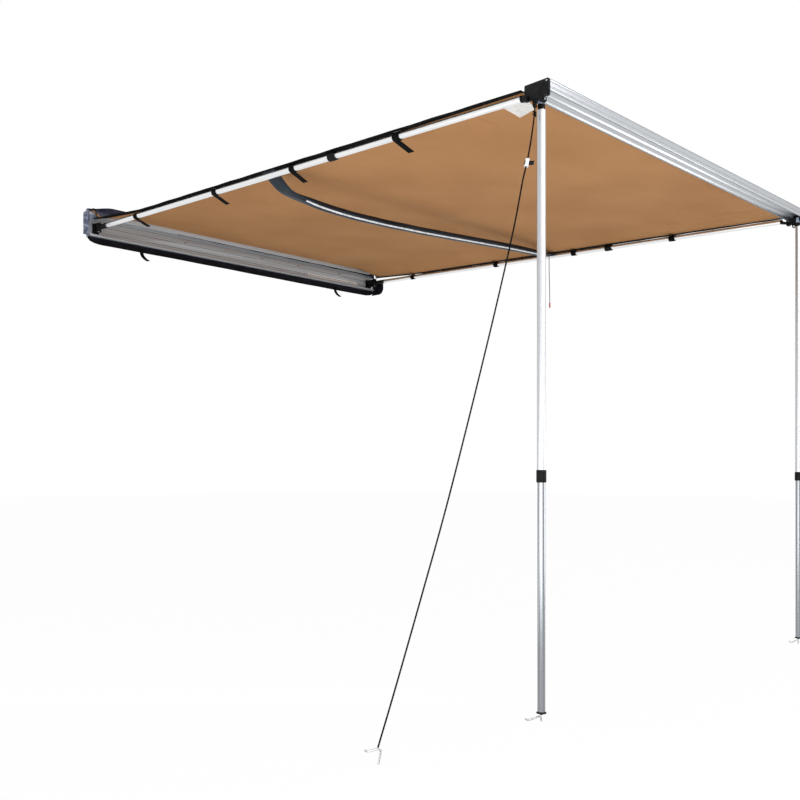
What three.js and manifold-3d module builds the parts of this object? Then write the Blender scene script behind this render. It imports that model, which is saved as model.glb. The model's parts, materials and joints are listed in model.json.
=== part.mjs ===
// Vehicle side awning, opened out: a back plate that bolts to a roof rack, two telescopic arms, a front
// beam on two telescopic legs, the canvas between plate and beam, a light sleeve, the opened cover
// and one guy rope.
// Millimetres, +Z up. X runs along the vehicle, -Y points away from it.
// The origin is the middle of the back plate's flat rear face. The near side is the -X side.

import * as THREE from 'three';
import { mergeVertices } from 'three/addons/utils/BufferGeometryUtils.js';
import Module from 'manifold-3d';

const wasm = await Module();
wasm.setup();

// Clearances and roundness
const gap = 0.3; // between neighbours, and round everything that slides or turns
const easyGap = 0.6; // round beads and fingers that sit loosely
const overrun = 1; // cutters pass the faces they cut by this much
const weldDistance = 0.001;
const tubeSides = 24;
const smallSides = 12;
const rodSides = 8;
const rodSteps = 40;

// Main sizes
const plateLength = 2073;
const plateHeight = 133;
const armInset = 41.5; // arm axis inboard of the plate's end
const legInset = 68.5; // leg axis inboard of the plate's end
const beamInset = 37.2; // beam's end inboard of the plate's end
const nearHingeReach = 45; // plate's rear face to the near arm's swing pin
const laneSpacing = 32; // the far arm swings this much further out, so both fold side by side
const beamReach = 2922; // plate's rear face to the middle of the front beam
const hingeHeight = -24.5; // swing pin, arm axis
const beamHeight = -138; // middle of the front beam
const armHeightAtBeam = -155.5; // arm axis under the beam's middle
const groundHeight = -2116.5;

// Back plate
const plateWall = 3.5;
const lipDepth = 25;
const lipWall = 3;
const lipUpstand = 9;
const boltHeadRadius = 8;
const boltHeadHeight = 4;
const boltPlaceShares = [-0.425, -0.157, 0.101, 0.373, 0.708]; // of half the plate's length

// Canvas rail
const railDepth = 18;
const railHeight = 25;
const railTopDrop = 4.5; // below the plate's top edge
const railWall = 2;
const railBoreRadius = 4.5;
const railBoreInset = 8; // from the rail's front and top faces
const railSlot = 2.4;
const railSlotAngle = 45;

// Front beam
const beamDepth = 76;
const beamThickness = 39;
const beamWall = 2.4;
const beamCorner = 3;
const troughRadius = 16.6;
const troughSpacing = 34;
const pivotDrop = 4; // leg pivot below the beam's underside
const grooveWidth = 3;
const grooveDepth = 1.2;
const grooveShares = [-0.24, 0.24]; // of the beam's thickness
const beamBoreRadius = 4;
const beamBoreInset = 6; // from the beam's inner face
const beamSlot = 3;
const canvasFrontHeight = -133;

// Swing hinge
const baseWidth = 36;
const baseHeight = 54;
const baseThickness = 5;
const earRadius = 13;
const earThickness = 6;
const barrelRadius = 12;
const barrelHeight = 33.4;
const swingPinRadius = 5;
const swingPinHeadRadius = 8;
const swingPinHeadHeight = 3;
const pitchOffset = 26; // swing pin to pitch pin
const pitchPinRadius = 4;
const pitchPinHeadRadius = 6.5;
const pitchPinHeadHeight = 2.5;
const tongueThickness = 12;
const tongueRadius = 9;
const gussetThickness = 8;

// Arms
const armTubeRadius = 12.5;
const armTubeWall = 1.2;
const cheekThickness = 5;
const cheekReach = 22;
const neckStart = 16;
const neckRadius = 13;
const neckEnd = 72;
const rootPlugLength = 25;
const collarRadius = 16.5;
const collarLength = 40;
const collarChamfer = 2;
const nearCollarShare = 0.6485; // swing pin to collar middle, of the beam's reach
const farCollarShare = 0.63;
const armTravel = 890; // of each inner tube into its outer tube
const tipPlugLength = 30;
const tipNeckLength = 6;
const tipTongueThickness = 8;
const tipEyeRadius = 5;
const tipNeckBack = 23; // stud to the front of the tip's neck

// Arm stud and knobs
const studRadius = 2.5;
const studDrop = 6; // stud below the beam's underside
const studPastTip = 3.5;
const armKnobRadius = 10.5;
const armKnobLength = 12;
const catchRadius = 8;
const catchLength = 10;
const catchShaftRadius = 3;
const nearCatchShift = 13; // catch shaft out from the free trough's middle
const farCatchShift = 0;
const catchDrop = 9; // catch shaft below the beam's underside
const catchHeadRadius = 6;
const catchHeadThickness = 5;
const knobChamfer = 1.5;

// End bracket
const bracketThickness = 9;
const bracketTopDrop = 2; // below the beam's top
const bracketForward = 15; // past the beam's inner face
const bracketBack = 2; // past the beam's outer face
const bracketFoot = 15; // below the beam's underside
const bracketPlugLength = 24;
const forkGap = 0.4;
const forkThickness = 5.4;
const forkRadius = 12;
const forkTop = 8.5; // above the leg pivot
const lugRadius = 8;
const lugEyeRadius = 4;
const lugDrop = 9; // guy eye below the bracket's foot
const lugThickness = 5;

// Legs
const legTubeRadius = 14;
const legTubeWall = 1.2;
const headTongueThickness = 13.2;
const headTongueRadius = 10;
const headCupTop = 16.5; // below the pivot
const headCupRadius = 11.5;
const headCupEnd = 34;
const headPlugEnd = 70;
const legBoltRadius = 4;
const legBoltHeadRadius = 5;
const legBoltHeadHeight = 2.6;
const legCollarRadius = troughRadius - easyGap;
const legCollarLength = 40;
const legCollarDrop = 1184.5; // pivot to collar middle
const legInnerLength = 1080;
const footPlugLength = 30;
const flangeRadius = troughRadius - gap;
const flangeThickness = 5;
const noseRadius = 5;
const noseTipRadius = 3.5;
const noseLength = 5.5;
const footHeight = 25.5; // flange underside above the ground

// Ground pegs
const pegRadius = 3;
const pegBuried = 170;
const pegArm = 62;
const pegArmSide = 18;
const pegArmDrop = 6;
const pegCurl = 7;
const guyPegHeight = 33;
const guyPegLean = 14;
const guyPegArm = 50;

// Canvas and its hems
const canvasThickness = 1.2;
const hemThickness = 2.4;
const hemWidth = 19;
const hemLiftWall = 41; // hem above the arm axis, at the wall and in the front half
const hemLiftFront = 19;
const overhangWall = 44; // hem edge outside the arm axis
const overhangFront = 22;
const settleShare = 0.17; // of the span, from where the hem lies close on the arms
const pullStart = 165; // inboard of the arm axis, where the cloth starts to drop to the hem
const pullEnd = 25;
const wallBend = 28; // distance out from the rail in which the side margin drops
const frontBend = 40; // and in which it rises again to the beam's slot
const canvasSag = 6;
const canvasColumnShares = [0, 0.3, 0.6, 0.835, 0.87, 0.905, 0.94, 0.972, 1];
const canvasRows = 18;

// Straps that hold the canvas to the arms
const strapWidth = 25;
const strapThickness = 1.5;
const strapTailThickness = 2.4;
const strapTails = { near: [58, 34, -1], far: [34, 2, 0.75] }; // reach, drop, and start share of the ring
const strapReachShares = [0.152, 0.39, 0.58, 0.784]; // of the beam's reach

// Light sleeve
const sleeveReachShare = 0.528; // of the beam's reach
const sleeveThickness = 2; // where it lies flat on the arms
const sleeveHeight = 36; // of the tube that holds the light
const sleeveEndWidth = 90;
const sleeveFarShare = 0.6; // its width on the far arm
const sleeveSag = 75; // below the arm axis
const sleeveOverArm = 14; // half the width that lies on the arm
const sleeveShares = [ // of the way to the arms, the sag, the end width and the height
  [-0.985, 0.12, 1, 0.06], [-0.965, 0.52, 0.96, 0.12], [-0.93, 0.7, 0.86, 0.3], [-0.88, 0.78, 0.7, 0.6],
  [-0.83, 0.83, 0.56, 0.88], [-0.76, 0.91, 0.5, 1], [-0.66, 0.98, 0.49, 1], [-0.55, 1, 0.49, 1],
  [-0.35, 0.94, 0.49, 1], [-0.1, 0.79, 0.49, 1], [0.15, 0.59, 0.49, 1], [0.4, 0.38, 0.49, 1],
  [0.6, 0.22, 0.49, 1], [0.78, 0.11, 0.49, 1], [0.87, 0.07, 0.5, 0.85], [0.93, 0.05, 0.55, 0.5],
  [0.965, 0.01, 0.6, 0.2], [0.985, -0.03, 0.6, 0.066],
];

// Light cable
const cableRadius = 2;
const capRadius = 4;
const capLength = 31;

// Cover
const coverThickness = 2;
const coverTopHeight = 33;
const coverTopEndHeight = 8;
const coverTopEndRun = 130;
const coverLowerDepth = 37;
const coverLowerEndDepth = 8;
const coverLowerEndRun = 90;
const coverBeadRadius = 3;
const coverLean = 9;
const coverPast = 6; // past the plate's ends
const coverStrapWidth = 25;
const coverStrapLength = 60;
const coverStrapThickness = 3;
const coverStrapShares = [-0.7, 0.67]; // of half the plate's length
const endPanelDepth = 106;
const endPanelRise = 60; // above the plate's bottom edge at the wall
const endPanelDrop = 30;
const endPanelCorner = 40;
const endFoldDepth = 34;
const endFoldWidth = 33;
const endFoldShares = [[0, 0], [0.1, 0.3], [0.02, 0.62], [0.12, 0.93], [0.5, 1], [1, 0.97]];

// Guy rope
const ropeRadius = 2.75;
const ropeSteps = 80;
const ropePoints = [
  [-1002, -2905, -190], [-1004, -2905, -215], [-1020, -2904, -300], [-1039, -2902, -377],
  [-1058, -2901, -434], [-1091, -2898, -563], [-1180, -2891, -849], [-1374, -2876, -1414],
  [-1480, -2868, -1690], [-1583, -2860, -1951], [-1622, -2857, -2046], [-1632, -2856, -2071],
];
const sliderPointIndex = 3;
const sliderLength = 22;
const sliderRadius = 6;
const cablePoints = [[967, -1543, -92], [968, -1543, -180], [972, -1543, -270], [974, -1543, -358]];

// Places worked out from the sizes above
const plateTop = plateHeight / 2;
const plateBottom = -plateHeight / 2;
const armX = plateLength / 2 - armInset;
const legX = plateLength / 2 - legInset;
const beamInnerY = -beamReach + beamDepth / 2;
const beamOuterY = -beamReach - beamDepth / 2;
const beamTop = beamHeight + beamThickness / 2;
const beamBottom = beamHeight - beamThickness / 2;
const beamEnd = plateLength / 2 - beamInset;
const pivotHeight = beamBottom - pivotDrop;
const armSlope = (hingeHeight - armHeightAtBeam) / (beamReach - nearHingeReach);
const armTilt = Math.atan(armSlope);
const armInnerRadius = armTubeRadius - armTubeWall - gap;
const legInnerRadius = legTubeRadius - legTubeWall - gap;
const bracketInner = beamEnd + gap;
const bracketOuter = bracketInner + bracketThickness;
const tipSwing = (beamReach - nearHingeReach) * (1 - Math.cos(armTilt)); // outwards, as the arm lifts
const studY = beamInnerY + tipEyeRadius + gap + tipSwing; // the tip lifts clear of the beam's face
const studZ = beamBottom - studDrop;
const flangeTop = groundHeight + footHeight + flangeThickness;
const noseBottom = groundHeight + footHeight - noseLength;

const unitX = new THREE.Vector3(1, 0, 0);
const unitY = new THREE.Vector3(0, 1, 0);
const unitZ = new THREE.Vector3(0, 0, 1);

// Materials
const finish = {
  aluminium: { color: 0xb9bcc0, roughness: 0.35, metalness: 0.9 },
  anodised: { color: 0xd8dadc, roughness: 0.25, metalness: 0.9 },
  blackPlastic: { color: 0x17171a, roughness: 0.55, metalness: 0 },
  greyPlastic: { color: 0x6f7884, roughness: 0.5, metalness: 0 },
  steel: { color: 0xa9acae, roughness: 0.4, metalness: 0.9 },
  canvas: { color: 0xb0854f, roughness: 0.85, metalness: 0 },
  binding: { color: 0x121214, roughness: 0.8, metalness: 0 },
  cover: { color: 0x23252f, roughness: 0.5, metalness: 0 },
  sleeve: { color: 0x39465a, roughness: 0.4, metalness: 0 },
  rope: { color: 0x101012, roughness: 0.9, metalness: 0 },
  cable: { color: 0x8a8c90, roughness: 0.6, metalness: 0 },
  redCap: { color: 0xc0222c, roughness: 0.4, metalness: 0 },
};

// Solids

function solid(geometry) {
  const bare = geometry.clone();
  bare.deleteAttribute('normal');
  bare.deleteAttribute('uv');
  const merged = mergeVertices(bare, weldDistance);
  const points = merged.attributes.position.array;
  const corners = merged.index.array;
  const kept = [];
  for (let i = 0; i < corners.length; i += 3) {
    const [a, b, c] = [corners[i], corners[i + 1], corners[i + 2]];
    if (a !== b && b !== c && c !== a) kept.push(a, b, c);
  }
  if (signedVolume(points, kept) < 0) kept.reverse();
  const data = { numProp: 3, vertProperties: Float32Array.from(points), triVerts: Uint32Array.from(kept) };
  return new wasm.Manifold(new wasm.Mesh(data));
}

function signedVolume(points, corners) {
  const at = (i) => new THREE.Vector3().fromArray(points, corners[i] * 3);
  let volume = 0;
  for (let i = 0; i < corners.length; i += 3) {
    volume += at(i).dot(at(i + 1).cross(at(i + 2)));
  }
  return volume;
}

function mesh(name, body, look) {
  const data = body.getMesh();
  const geometry = new THREE.BufferGeometry();
  geometry.setAttribute('position', new THREE.BufferAttribute(Float32Array.from(data.vertProperties), 3));
  geometry.setIndex(new THREE.BufferAttribute(Uint32Array.from(data.triVerts), 1));
  geometry.computeVertexNormals();
  const item = new THREE.Mesh(geometry, new THREE.MeshStandardMaterial(finish[look]));
  item.name = name;
  return item;
}

function circle(radius, a = 0, b = 0, sides = tubeSides) {
  return Array.from({ length: sides }, (_, i) => {
    const angle = (2 * Math.PI * i) / sides;
    return new THREE.Vector2(a + radius * Math.cos(angle), b + radius * Math.sin(angle));
  });
}

function rectangle(a0, a1, b0, b1) {
  return [[a0, b0], [a1, b0], [a1, b1], [a0, b1]].map(([a, b]) => new THREE.Vector2(a, b));
}

// An outline pushed along an axis. It lies in (y, z) for x, in (x, z) for y and in (x, y) for z.
function prism(axis, outline, from, to, holes = []) {
  const shape = new THREE.Shape(outline);
  holes.forEach((hole) => shape.holes.push(new THREE.Path(hole)));
  const geometry = new THREE.ExtrudeGeometry(shape, { depth: to - from, bevelEnabled: false });
  const frame = new THREE.Matrix4();
  if (axis === 'x') frame.makeBasis(unitY, unitZ, unitX).setPosition(from, 0, 0);
  if (axis === 'y') frame.makeBasis(unitX, unitZ, unitY.clone().negate()).setPosition(0, to, 0);
  if (axis === 'z') frame.setPosition(0, 0, from);
  return solid(geometry.applyMatrix4(frame));
}

function box(x0, x1, y0, y1, z0, z1) {
  return prism('z', rectangle(x0, x1, y0, y1), z0, z1);
}

function rod(axis, radius, from, to, a = 0, b = 0, sides = tubeSides) {
  return prism(axis, circle(radius, a, b, sides), from, to);
}

// A turned piece on a tube's axis: [radius, distance] points, distances along -Y or -Z.
function turned(axis, profile, sides = tubeSides) {
  const geometry = new THREE.LatheGeometry(profile.map(([r, d]) => new THREE.Vector2(r, d)), sides);
  geometry.rotateX(axis === 'y' ? Math.PI : -Math.PI / 2);
  return solid(geometry);
}

function tube(axis, radius, wall, from, to) {
  const bore = radius - wall;
  return turned(axis, [[bore, from], [radius, from], [radius, to], [bore, to], [bore, from]]);
}

// A sheet of cloth: a grid of points, made thick by an offset to both sides.
function sheet(grid, offset) {
  const rows = grid.length;
  const columns = grid[0].length;
  const points = [];
  for (const side of [1, -1]) {
    grid.forEach((row) => row.forEach((p) => points.push(...p.clone().addScaledVector(offset, side))));
  }
  const at = (side, i, j) => side * rows * columns + i * columns + j;
  const corners = [];
  const quad = (a, b, c, d) => corners.push(a, b, c, a, c, d);
  for (let i = 0; i + 1 < rows; i += 1) {
    for (let j = 0; j + 1 < columns; j += 1) {
      quad(at(0, i, j), at(0, i + 1, j), at(0, i + 1, j + 1), at(0, i, j + 1));
      quad(at(1, i, j + 1), at(1, i + 1, j + 1), at(1, i + 1, j), at(1, i, j));
    }
    quad(at(1, i, 0), at(1, i + 1, 0), at(0, i + 1, 0), at(0, i, 0));
    const last = columns - 1;
    quad(at(0, i, last), at(0, i + 1, last), at(1, i + 1, last), at(1, i, last));
  }
  for (let j = 0; j + 1 < columns; j += 1) {
    quad(at(0, 0, j), at(0, 0, j + 1), at(1, 0, j + 1), at(1, 0, j));
    const last = rows - 1;
    quad(at(1, last, j), at(1, last, j + 1), at(0, last, j + 1), at(0, last, j));
  }
  const geometry = new THREE.BufferGeometry();
  geometry.setAttribute('position', new THREE.Float32BufferAttribute(points, 3));
  geometry.setIndex(corners);
  return solid(geometry);
}

// A soft tube through rings of points.
function loft(rings) {
  const sides = rings[0].length;
  const corners = [];
  const last = (rings.length - 1) * sides;
  for (let i = 0; i < last; i += sides) {
    for (let k = 0; k < sides; k += 1) {
      const [a, b] = [i + k, i + ((k + 1) % sides)];
      corners.push(a, b, b + sides, a, b + sides, a + sides);
    }
  }
  for (let k = 1; k + 1 < sides; k += 1) corners.push(0, k + 1, k, last, last + k, last + k + 1);
  const points = rings.flat().flatMap((p) => p.toArray());
  const geometry = new THREE.BufferGeometry();
  geometry.setAttribute('position', new THREE.Float32BufferAttribute(points, 3));
  geometry.setIndex(corners);
  return solid(geometry);
}

// A round rod or rope along a route.
function run(points, radius, sides, steps) {
  const path = new THREE.CatmullRomCurve3(points, false, 'centripetal');
  const shape = new THREE.Shape(circle(radius, 0, 0, sides));
  return solid(new THREE.ExtrudeGeometry(shape, { steps, extrudePath: path, bevelEnabled: false }));
}

function vectors(list) {
  return list.map((point) => new THREE.Vector3(...point));
}

function smooth(share) {
  const t = Math.min(Math.max(share, 0), 1);
  return t * t * (3 - 2 * t);
}

function mix(a, b, share) {
  return a + (b - a) * share;
}

// Arm axis height at a distance out from the plate (y is negative).
function armHeight(y) {
  return hingeHeight + (y + nearHingeReach) * armSlope;
}

// Back plate and canvas rail

function backPlate() {
  const web = box(-plateLength / 2, plateLength / 2, -plateWall, 0, plateBottom, plateTop);
  const lip = box(-plateLength / 2, plateLength / 2, -lipDepth, 0, plateBottom, plateBottom + lipWall);
  const edge = box(-plateLength / 2, plateLength / 2, -lipDepth, lipWall - lipDepth,
    plateBottom, plateBottom + lipUpstand);
  let plate = web.add(lip).add(edge);
  for (const share of boltPlaceShares) {
    const x = share * plateLength / 2;
    const head = rod('y', boltHeadRadius, -plateWall - boltHeadHeight, 0, x, 0, smallSides);
    plate = plate.add(head);
  }
  return mesh('back_plate', plate, 'aluminium');
}

const railBack = -plateWall - gap;
const railFront = railBack - railDepth;
const railTop = plateTop - railTopDrop;
const railBoreY = railFront + railBoreInset;
const railBoreZ = railTop - railBoreInset;

function canvasRail() {
  const [x0, x1] = [-plateLength / 2, plateLength / 2];
  const bar = box(x0, x1, railFront, railBack, railTop - railHeight, railTop);
  const bore = rod('x', railBoreRadius, x0 - overrun, x1 + overrun, railBoreY, railBoreZ);
  const slotReach = railBoreInset * Math.SQRT2 + overrun;
  const slot = box(x0 - overrun, x1 + overrun, -slotReach, 0, -railSlot / 2, railSlot / 2)
    .rotate([-railSlotAngle, 0, 0]).translate([0, railBoreY, railBoreZ]);
  const cavityTop = railBoreZ - railBoreRadius - railWall;
  const cavity = box(x0 - overrun, x1 + overrun, railFront + railWall, railBack - railWall,
    railTop - railHeight + railWall, cavityTop);
  return mesh('canvas_rail', bar.subtract(bore).subtract(slot).subtract(cavity), 'anodised');
}

// Swing hinge on the plate. The block's base lies on the plate's web; reach is the pin's distance out.

function hingeBlock(name, x, reach) {
  const height = armHeight(-reach);
  const face = -plateWall - gap;
  const base = box(x - baseWidth / 2, x + baseWidth / 2, face - baseThickness, face,
    height - baseHeight / 2, height + baseHeight / 2);
  let block = base;
  for (const side of [-1, 1]) {
    const inner = height + side * (barrelHeight / 2 + gap);
    const outer = inner + side * earThickness;
    const [z0, z1] = [Math.min(inner, outer), Math.max(inner, outer)];
    const ear = box(x - earRadius, x + earRadius, -reach, face - baseThickness + overrun, z0, z1);
    block = block.add(ear).add(rod('z', earRadius, z0, z1, x, -reach));
  }
  const earTop = barrelHeight / 2 + gap + earThickness;
  const gusset = box(x - gussetThickness / 2, x + gussetThickness / 2, -reach + barrelRadius + easyGap,
    face, height - earTop, height + earTop);
  const hole = rod('z', swingPinRadius + gap, height - baseHeight, height + baseHeight, x, -reach);
  return mesh(name, block.add(gusset).subtract(hole), 'blackPlastic');
}

function hingePin(name, x, reach) {
  const height = armHeight(-reach);
  const half = barrelHeight / 2 + gap + earThickness;
  const shank = rod('z', swingPinRadius, height - half - overrun, height + half + gap + overrun, x, -reach);
  const head = rod('z', swingPinHeadRadius, height + half + gap, height + half + gap + swingPinHeadHeight,
    x, -reach);
  return mesh(name, shank.add(head), 'steel');
}

// The knuckle swings on the vertical pin and carries the cross pin that the arm tilts on.
function knuckle(name, x, reach) {
  const height = armHeight(-reach);
  const pinY = -reach - pitchOffset;
  const pinZ = armHeight(pinY);
  const barrel = rod('z', barrelRadius, height - barrelHeight / 2, height + barrelHeight / 2, x, -reach);
  const half = tongueThickness / 2;
  const tongue = box(x - half, x + half, pinY, -reach, pinZ - tongueRadius, pinZ + tongueRadius)
    .add(rod('x', tongueRadius, x - half, x + half, pinY, pinZ));
  const bore = rod('z', swingPinRadius + gap, height - barrelHeight, height + barrelHeight, x, -reach);
  const reachOut = tongueThickness / 2 + gap + cheekThickness + gap;
  const pin = rod('x', pitchPinRadius, x - reachOut, x + reachOut, pinY, pinZ, smallSides);
  let body = barrel.add(tongue).subtract(bore).add(pin);
  for (const side of [-1, 1]) {
    const ends = [x + side * reachOut, x + side * (reachOut + pitchPinHeadHeight)].sort((a, b) => a - b);
    body = body.add(rod('x', pitchPinHeadRadius, ends[0], ends[1], pinY, pinZ, smallSides));
  }
  return mesh(name, body, 'blackPlastic');
}

// Telescopic arm, along -Y from its cross pin

function armRootFitting(name) {
  const inner = tongueThickness / 2 + gap;
  let body = turned('y', [[0, neckStart], [neckRadius, neckStart], [neckRadius, neckEnd],
    [armTubeRadius - armTubeWall - gap, neckEnd],
    [armTubeRadius - armTubeWall - gap, neckEnd + rootPlugLength], [0, neckEnd + rootPlugLength]]);
  for (const side of [-1, 1]) {
    const [x0, x1] = [side * inner, side * (inner + cheekThickness)].sort((a, b) => a - b);
    const cheek = box(x0, x1, -cheekReach, 0, -tongueRadius, tongueRadius)
      .add(rod('x', tongueRadius, x0, x1, 0, 0));
    const hole = rod('x', pitchPinRadius + gap, x0 - overrun, x1 + overrun, 0, 0, smallSides);
    body = body.add(cheek.subtract(hole));
  }
  return mesh(name, body, 'blackPlastic');
}

function collar(name, axis, middle, radius, length, tubeRadius, innerRadius) {
  const [start, end] = [middle - length / 2, middle + length / 2];
  const step = middle + length / 4 + gap;
  const body = turned(axis, [
    [tubeRadius + gap, start], [radius - collarChamfer, start], [radius, start + collarChamfer],
    [radius, end - collarChamfer], [radius - collarChamfer, end], [innerRadius + gap, end],
    [innerRadius + gap, step], [tubeRadius + gap, step], [tubeRadius + gap, start],
  ]);
  return mesh(name, body, 'blackPlastic');
}

// The tip hooks over the bracket's stud through a slot that is open below.
function armTip(name, studReach, studFall) {
  const bore = armInnerRadius - armTubeWall;
  const neckFront = studReach - tipNeckBack;
  const neckBack = neckFront - tipNeckLength;
  let body = turned('y', [[0, neckBack - tipPlugLength], [bore - gap, neckBack - tipPlugLength],
    [bore - gap, neckBack], [armInnerRadius, neckBack], [armInnerRadius, neckFront], [0, neckFront]]);
  const half = tipTongueThickness / 2;
  const outline = [[-neckBack, tipEyeRadius], [-neckBack, -tipEyeRadius - studFall / 2],
    [-studReach, -studFall - tipEyeRadius], [-studReach, -studFall + tipEyeRadius]];
  const tongue = prism('x', outline.map(([a, b]) => new THREE.Vector2(a, b)), -half, half)
    .add(rod('x', tipEyeRadius, -half, half, -studReach, -studFall));
  const slot = rod('x', studRadius + gap, -half - overrun, half + overrun, -studReach, -studFall, smallSides)
    .add(box(-half - overrun, half + overrun, -studReach - studRadius - gap, -studReach + studRadius + gap,
      -studFall - 2 * tipEyeRadius, -studFall));
  body = body.add(tongue).subtract(slot);
  return mesh(name, body, 'blackPlastic');
}

// Strap: a ring round an arm, a tab up to the hem and a loose tail hanging inboard.
function armStrap(name, reach, tubeRadius, lift, inboard, [tailReach, tailDrop, startShare]) {
  const inner = tubeRadius + gap;
  const outer = inner + strapThickness;
  const top = lift - hemThickness / 2 - gap;
  const [y0, y1] = [-reach - strapWidth / 2, -reach + strapWidth / 2];
  const tab = box(-strapThickness, strapThickness, y0, y1, 0, top);
  const [start, end] = [startShare * outer, inboard * tailReach];
  const outline = [[0, start], [end, start - tailDrop], [end, start - tailDrop + strapTailThickness],
    [0, start + strapTailThickness]].map(([a, b]) => new THREE.Vector2(a, b));
  const opening = rod('y', inner, y0 - overrun, y1 + overrun);
  return mesh(name, rod('y', outer, y0, y1).add(tab).add(prism('y', outline, y0, y1)).subtract(opening),
    'binding');
}

function arm(group, label, side, reach, collarShare) {
  const x = side * armX;
  const pin = new THREE.Vector3(x, -reach - pitchOffset, armHeight(-reach - pitchOffset));
  const holder = new THREE.Group();
  holder.position.copy(pin);
  holder.rotation.x = armTilt;
  holder.updateMatrixWorld();
  const stud = holder.worldToLocal(new THREE.Vector3(x, studY, studZ));
  const [studReach, studFall] = [-stud.y, -stud.z];
  const collarMiddle = collarShare * beamReach - pitchOffset / Math.cos(armTilt);
  const tubeEnd = collarMiddle + collarLength / 4;
  const innerEnd = studReach - tipNeckBack - tipNeckLength - gap;
  const innerStart = neckEnd + rootPlugLength + easyGap + armTravel;
  holder.add(armRootFitting(`${label}_arm_root_fitting`));
  holder.add(mesh(`${label}_arm_outer_tube`,
    tube('y', armTubeRadius, armTubeWall, neckEnd + gap, tubeEnd), 'anodised'));
  holder.add(collar(`${label}_arm_collar`, 'y', collarMiddle, collarRadius, collarLength,
    armTubeRadius, armInnerRadius));
  holder.add(mesh(`${label}_arm_inner_tube`,
    tube('y', armInnerRadius, armTubeWall, innerStart, innerEnd), 'anodised'));
  holder.add(armTip(`${label}_arm_tip`, studReach, studFall));
  strapReachShares.forEach((share, i) => {
    const y = -share * beamReach;
    const local = (-y - reach - pitchOffset) / Math.cos(armTilt);
    const radius = local < tubeEnd ? armTubeRadius : armInnerRadius;
    holder.add(armStrap(`${label}_arm_strap_${i + 1}`, local, radius, hemLift(y), -side, strapTails[label]));
  });
  group.add(holder);
}

// Front beam: a hollow extrusion with two troughs below for the folded legs

function beamSection() {
  const [inner, outer] = [beamInnerY, beamOuterY];
  const points = [
    [inner, beamTop - beamCorner], [inner - beamCorner, beamTop],
    [outer + beamCorner, beamTop], [outer, beamTop - beamCorner],
    [outer, beamBottom + beamCorner], [outer + beamCorner, beamBottom],
    [inner - beamCorner, beamBottom], [inner, beamBottom + beamCorner],
  ];
  return points.map(([a, b]) => new THREE.Vector2(a, b));
}

const hollow = {
  back: beamOuterY + beamWall,
  front: beamInnerY - beamBoreInset - beamBoreRadius - beamWall,
  top: beamTop - beamWall,
  bottom: pivotHeight + troughRadius + beamWall,
};

function frontBeam() {
  let beam = prism('x', beamSection(), -beamEnd, beamEnd);
  const [x0, x1] = [-beamEnd - overrun, beamEnd + overrun];
  for (const side of [-1, 1]) {
    const y = -beamReach + side * troughSpacing / 2;
    beam = beam.subtract(rod('x', troughRadius, x0, x1, y, pivotHeight, 2 * tubeSides));
  }
  for (const share of grooveShares) {
    const z = beamHeight + share * beamThickness;
    beam = beam.subtract(box(x0, x1, beamOuterY - overrun, beamOuterY + grooveDepth,
      z - grooveWidth / 2, z + grooveWidth / 2));
  }
  const boreY = beamInnerY - beamBoreInset;
  beam = beam.subtract(rod('x', beamBoreRadius, x0, x1, boreY, canvasFrontHeight));
  beam = beam.subtract(box(x0, x1, boreY, beamInnerY + overrun,
    canvasFrontHeight - beamSlot / 2, canvasFrontHeight + beamSlot / 2));
  beam = beam.subtract(box(x0, x1, hollow.back, hollow.front, hollow.bottom, hollow.top));
  return mesh('front_beam', beam, 'anodised');
}

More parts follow.
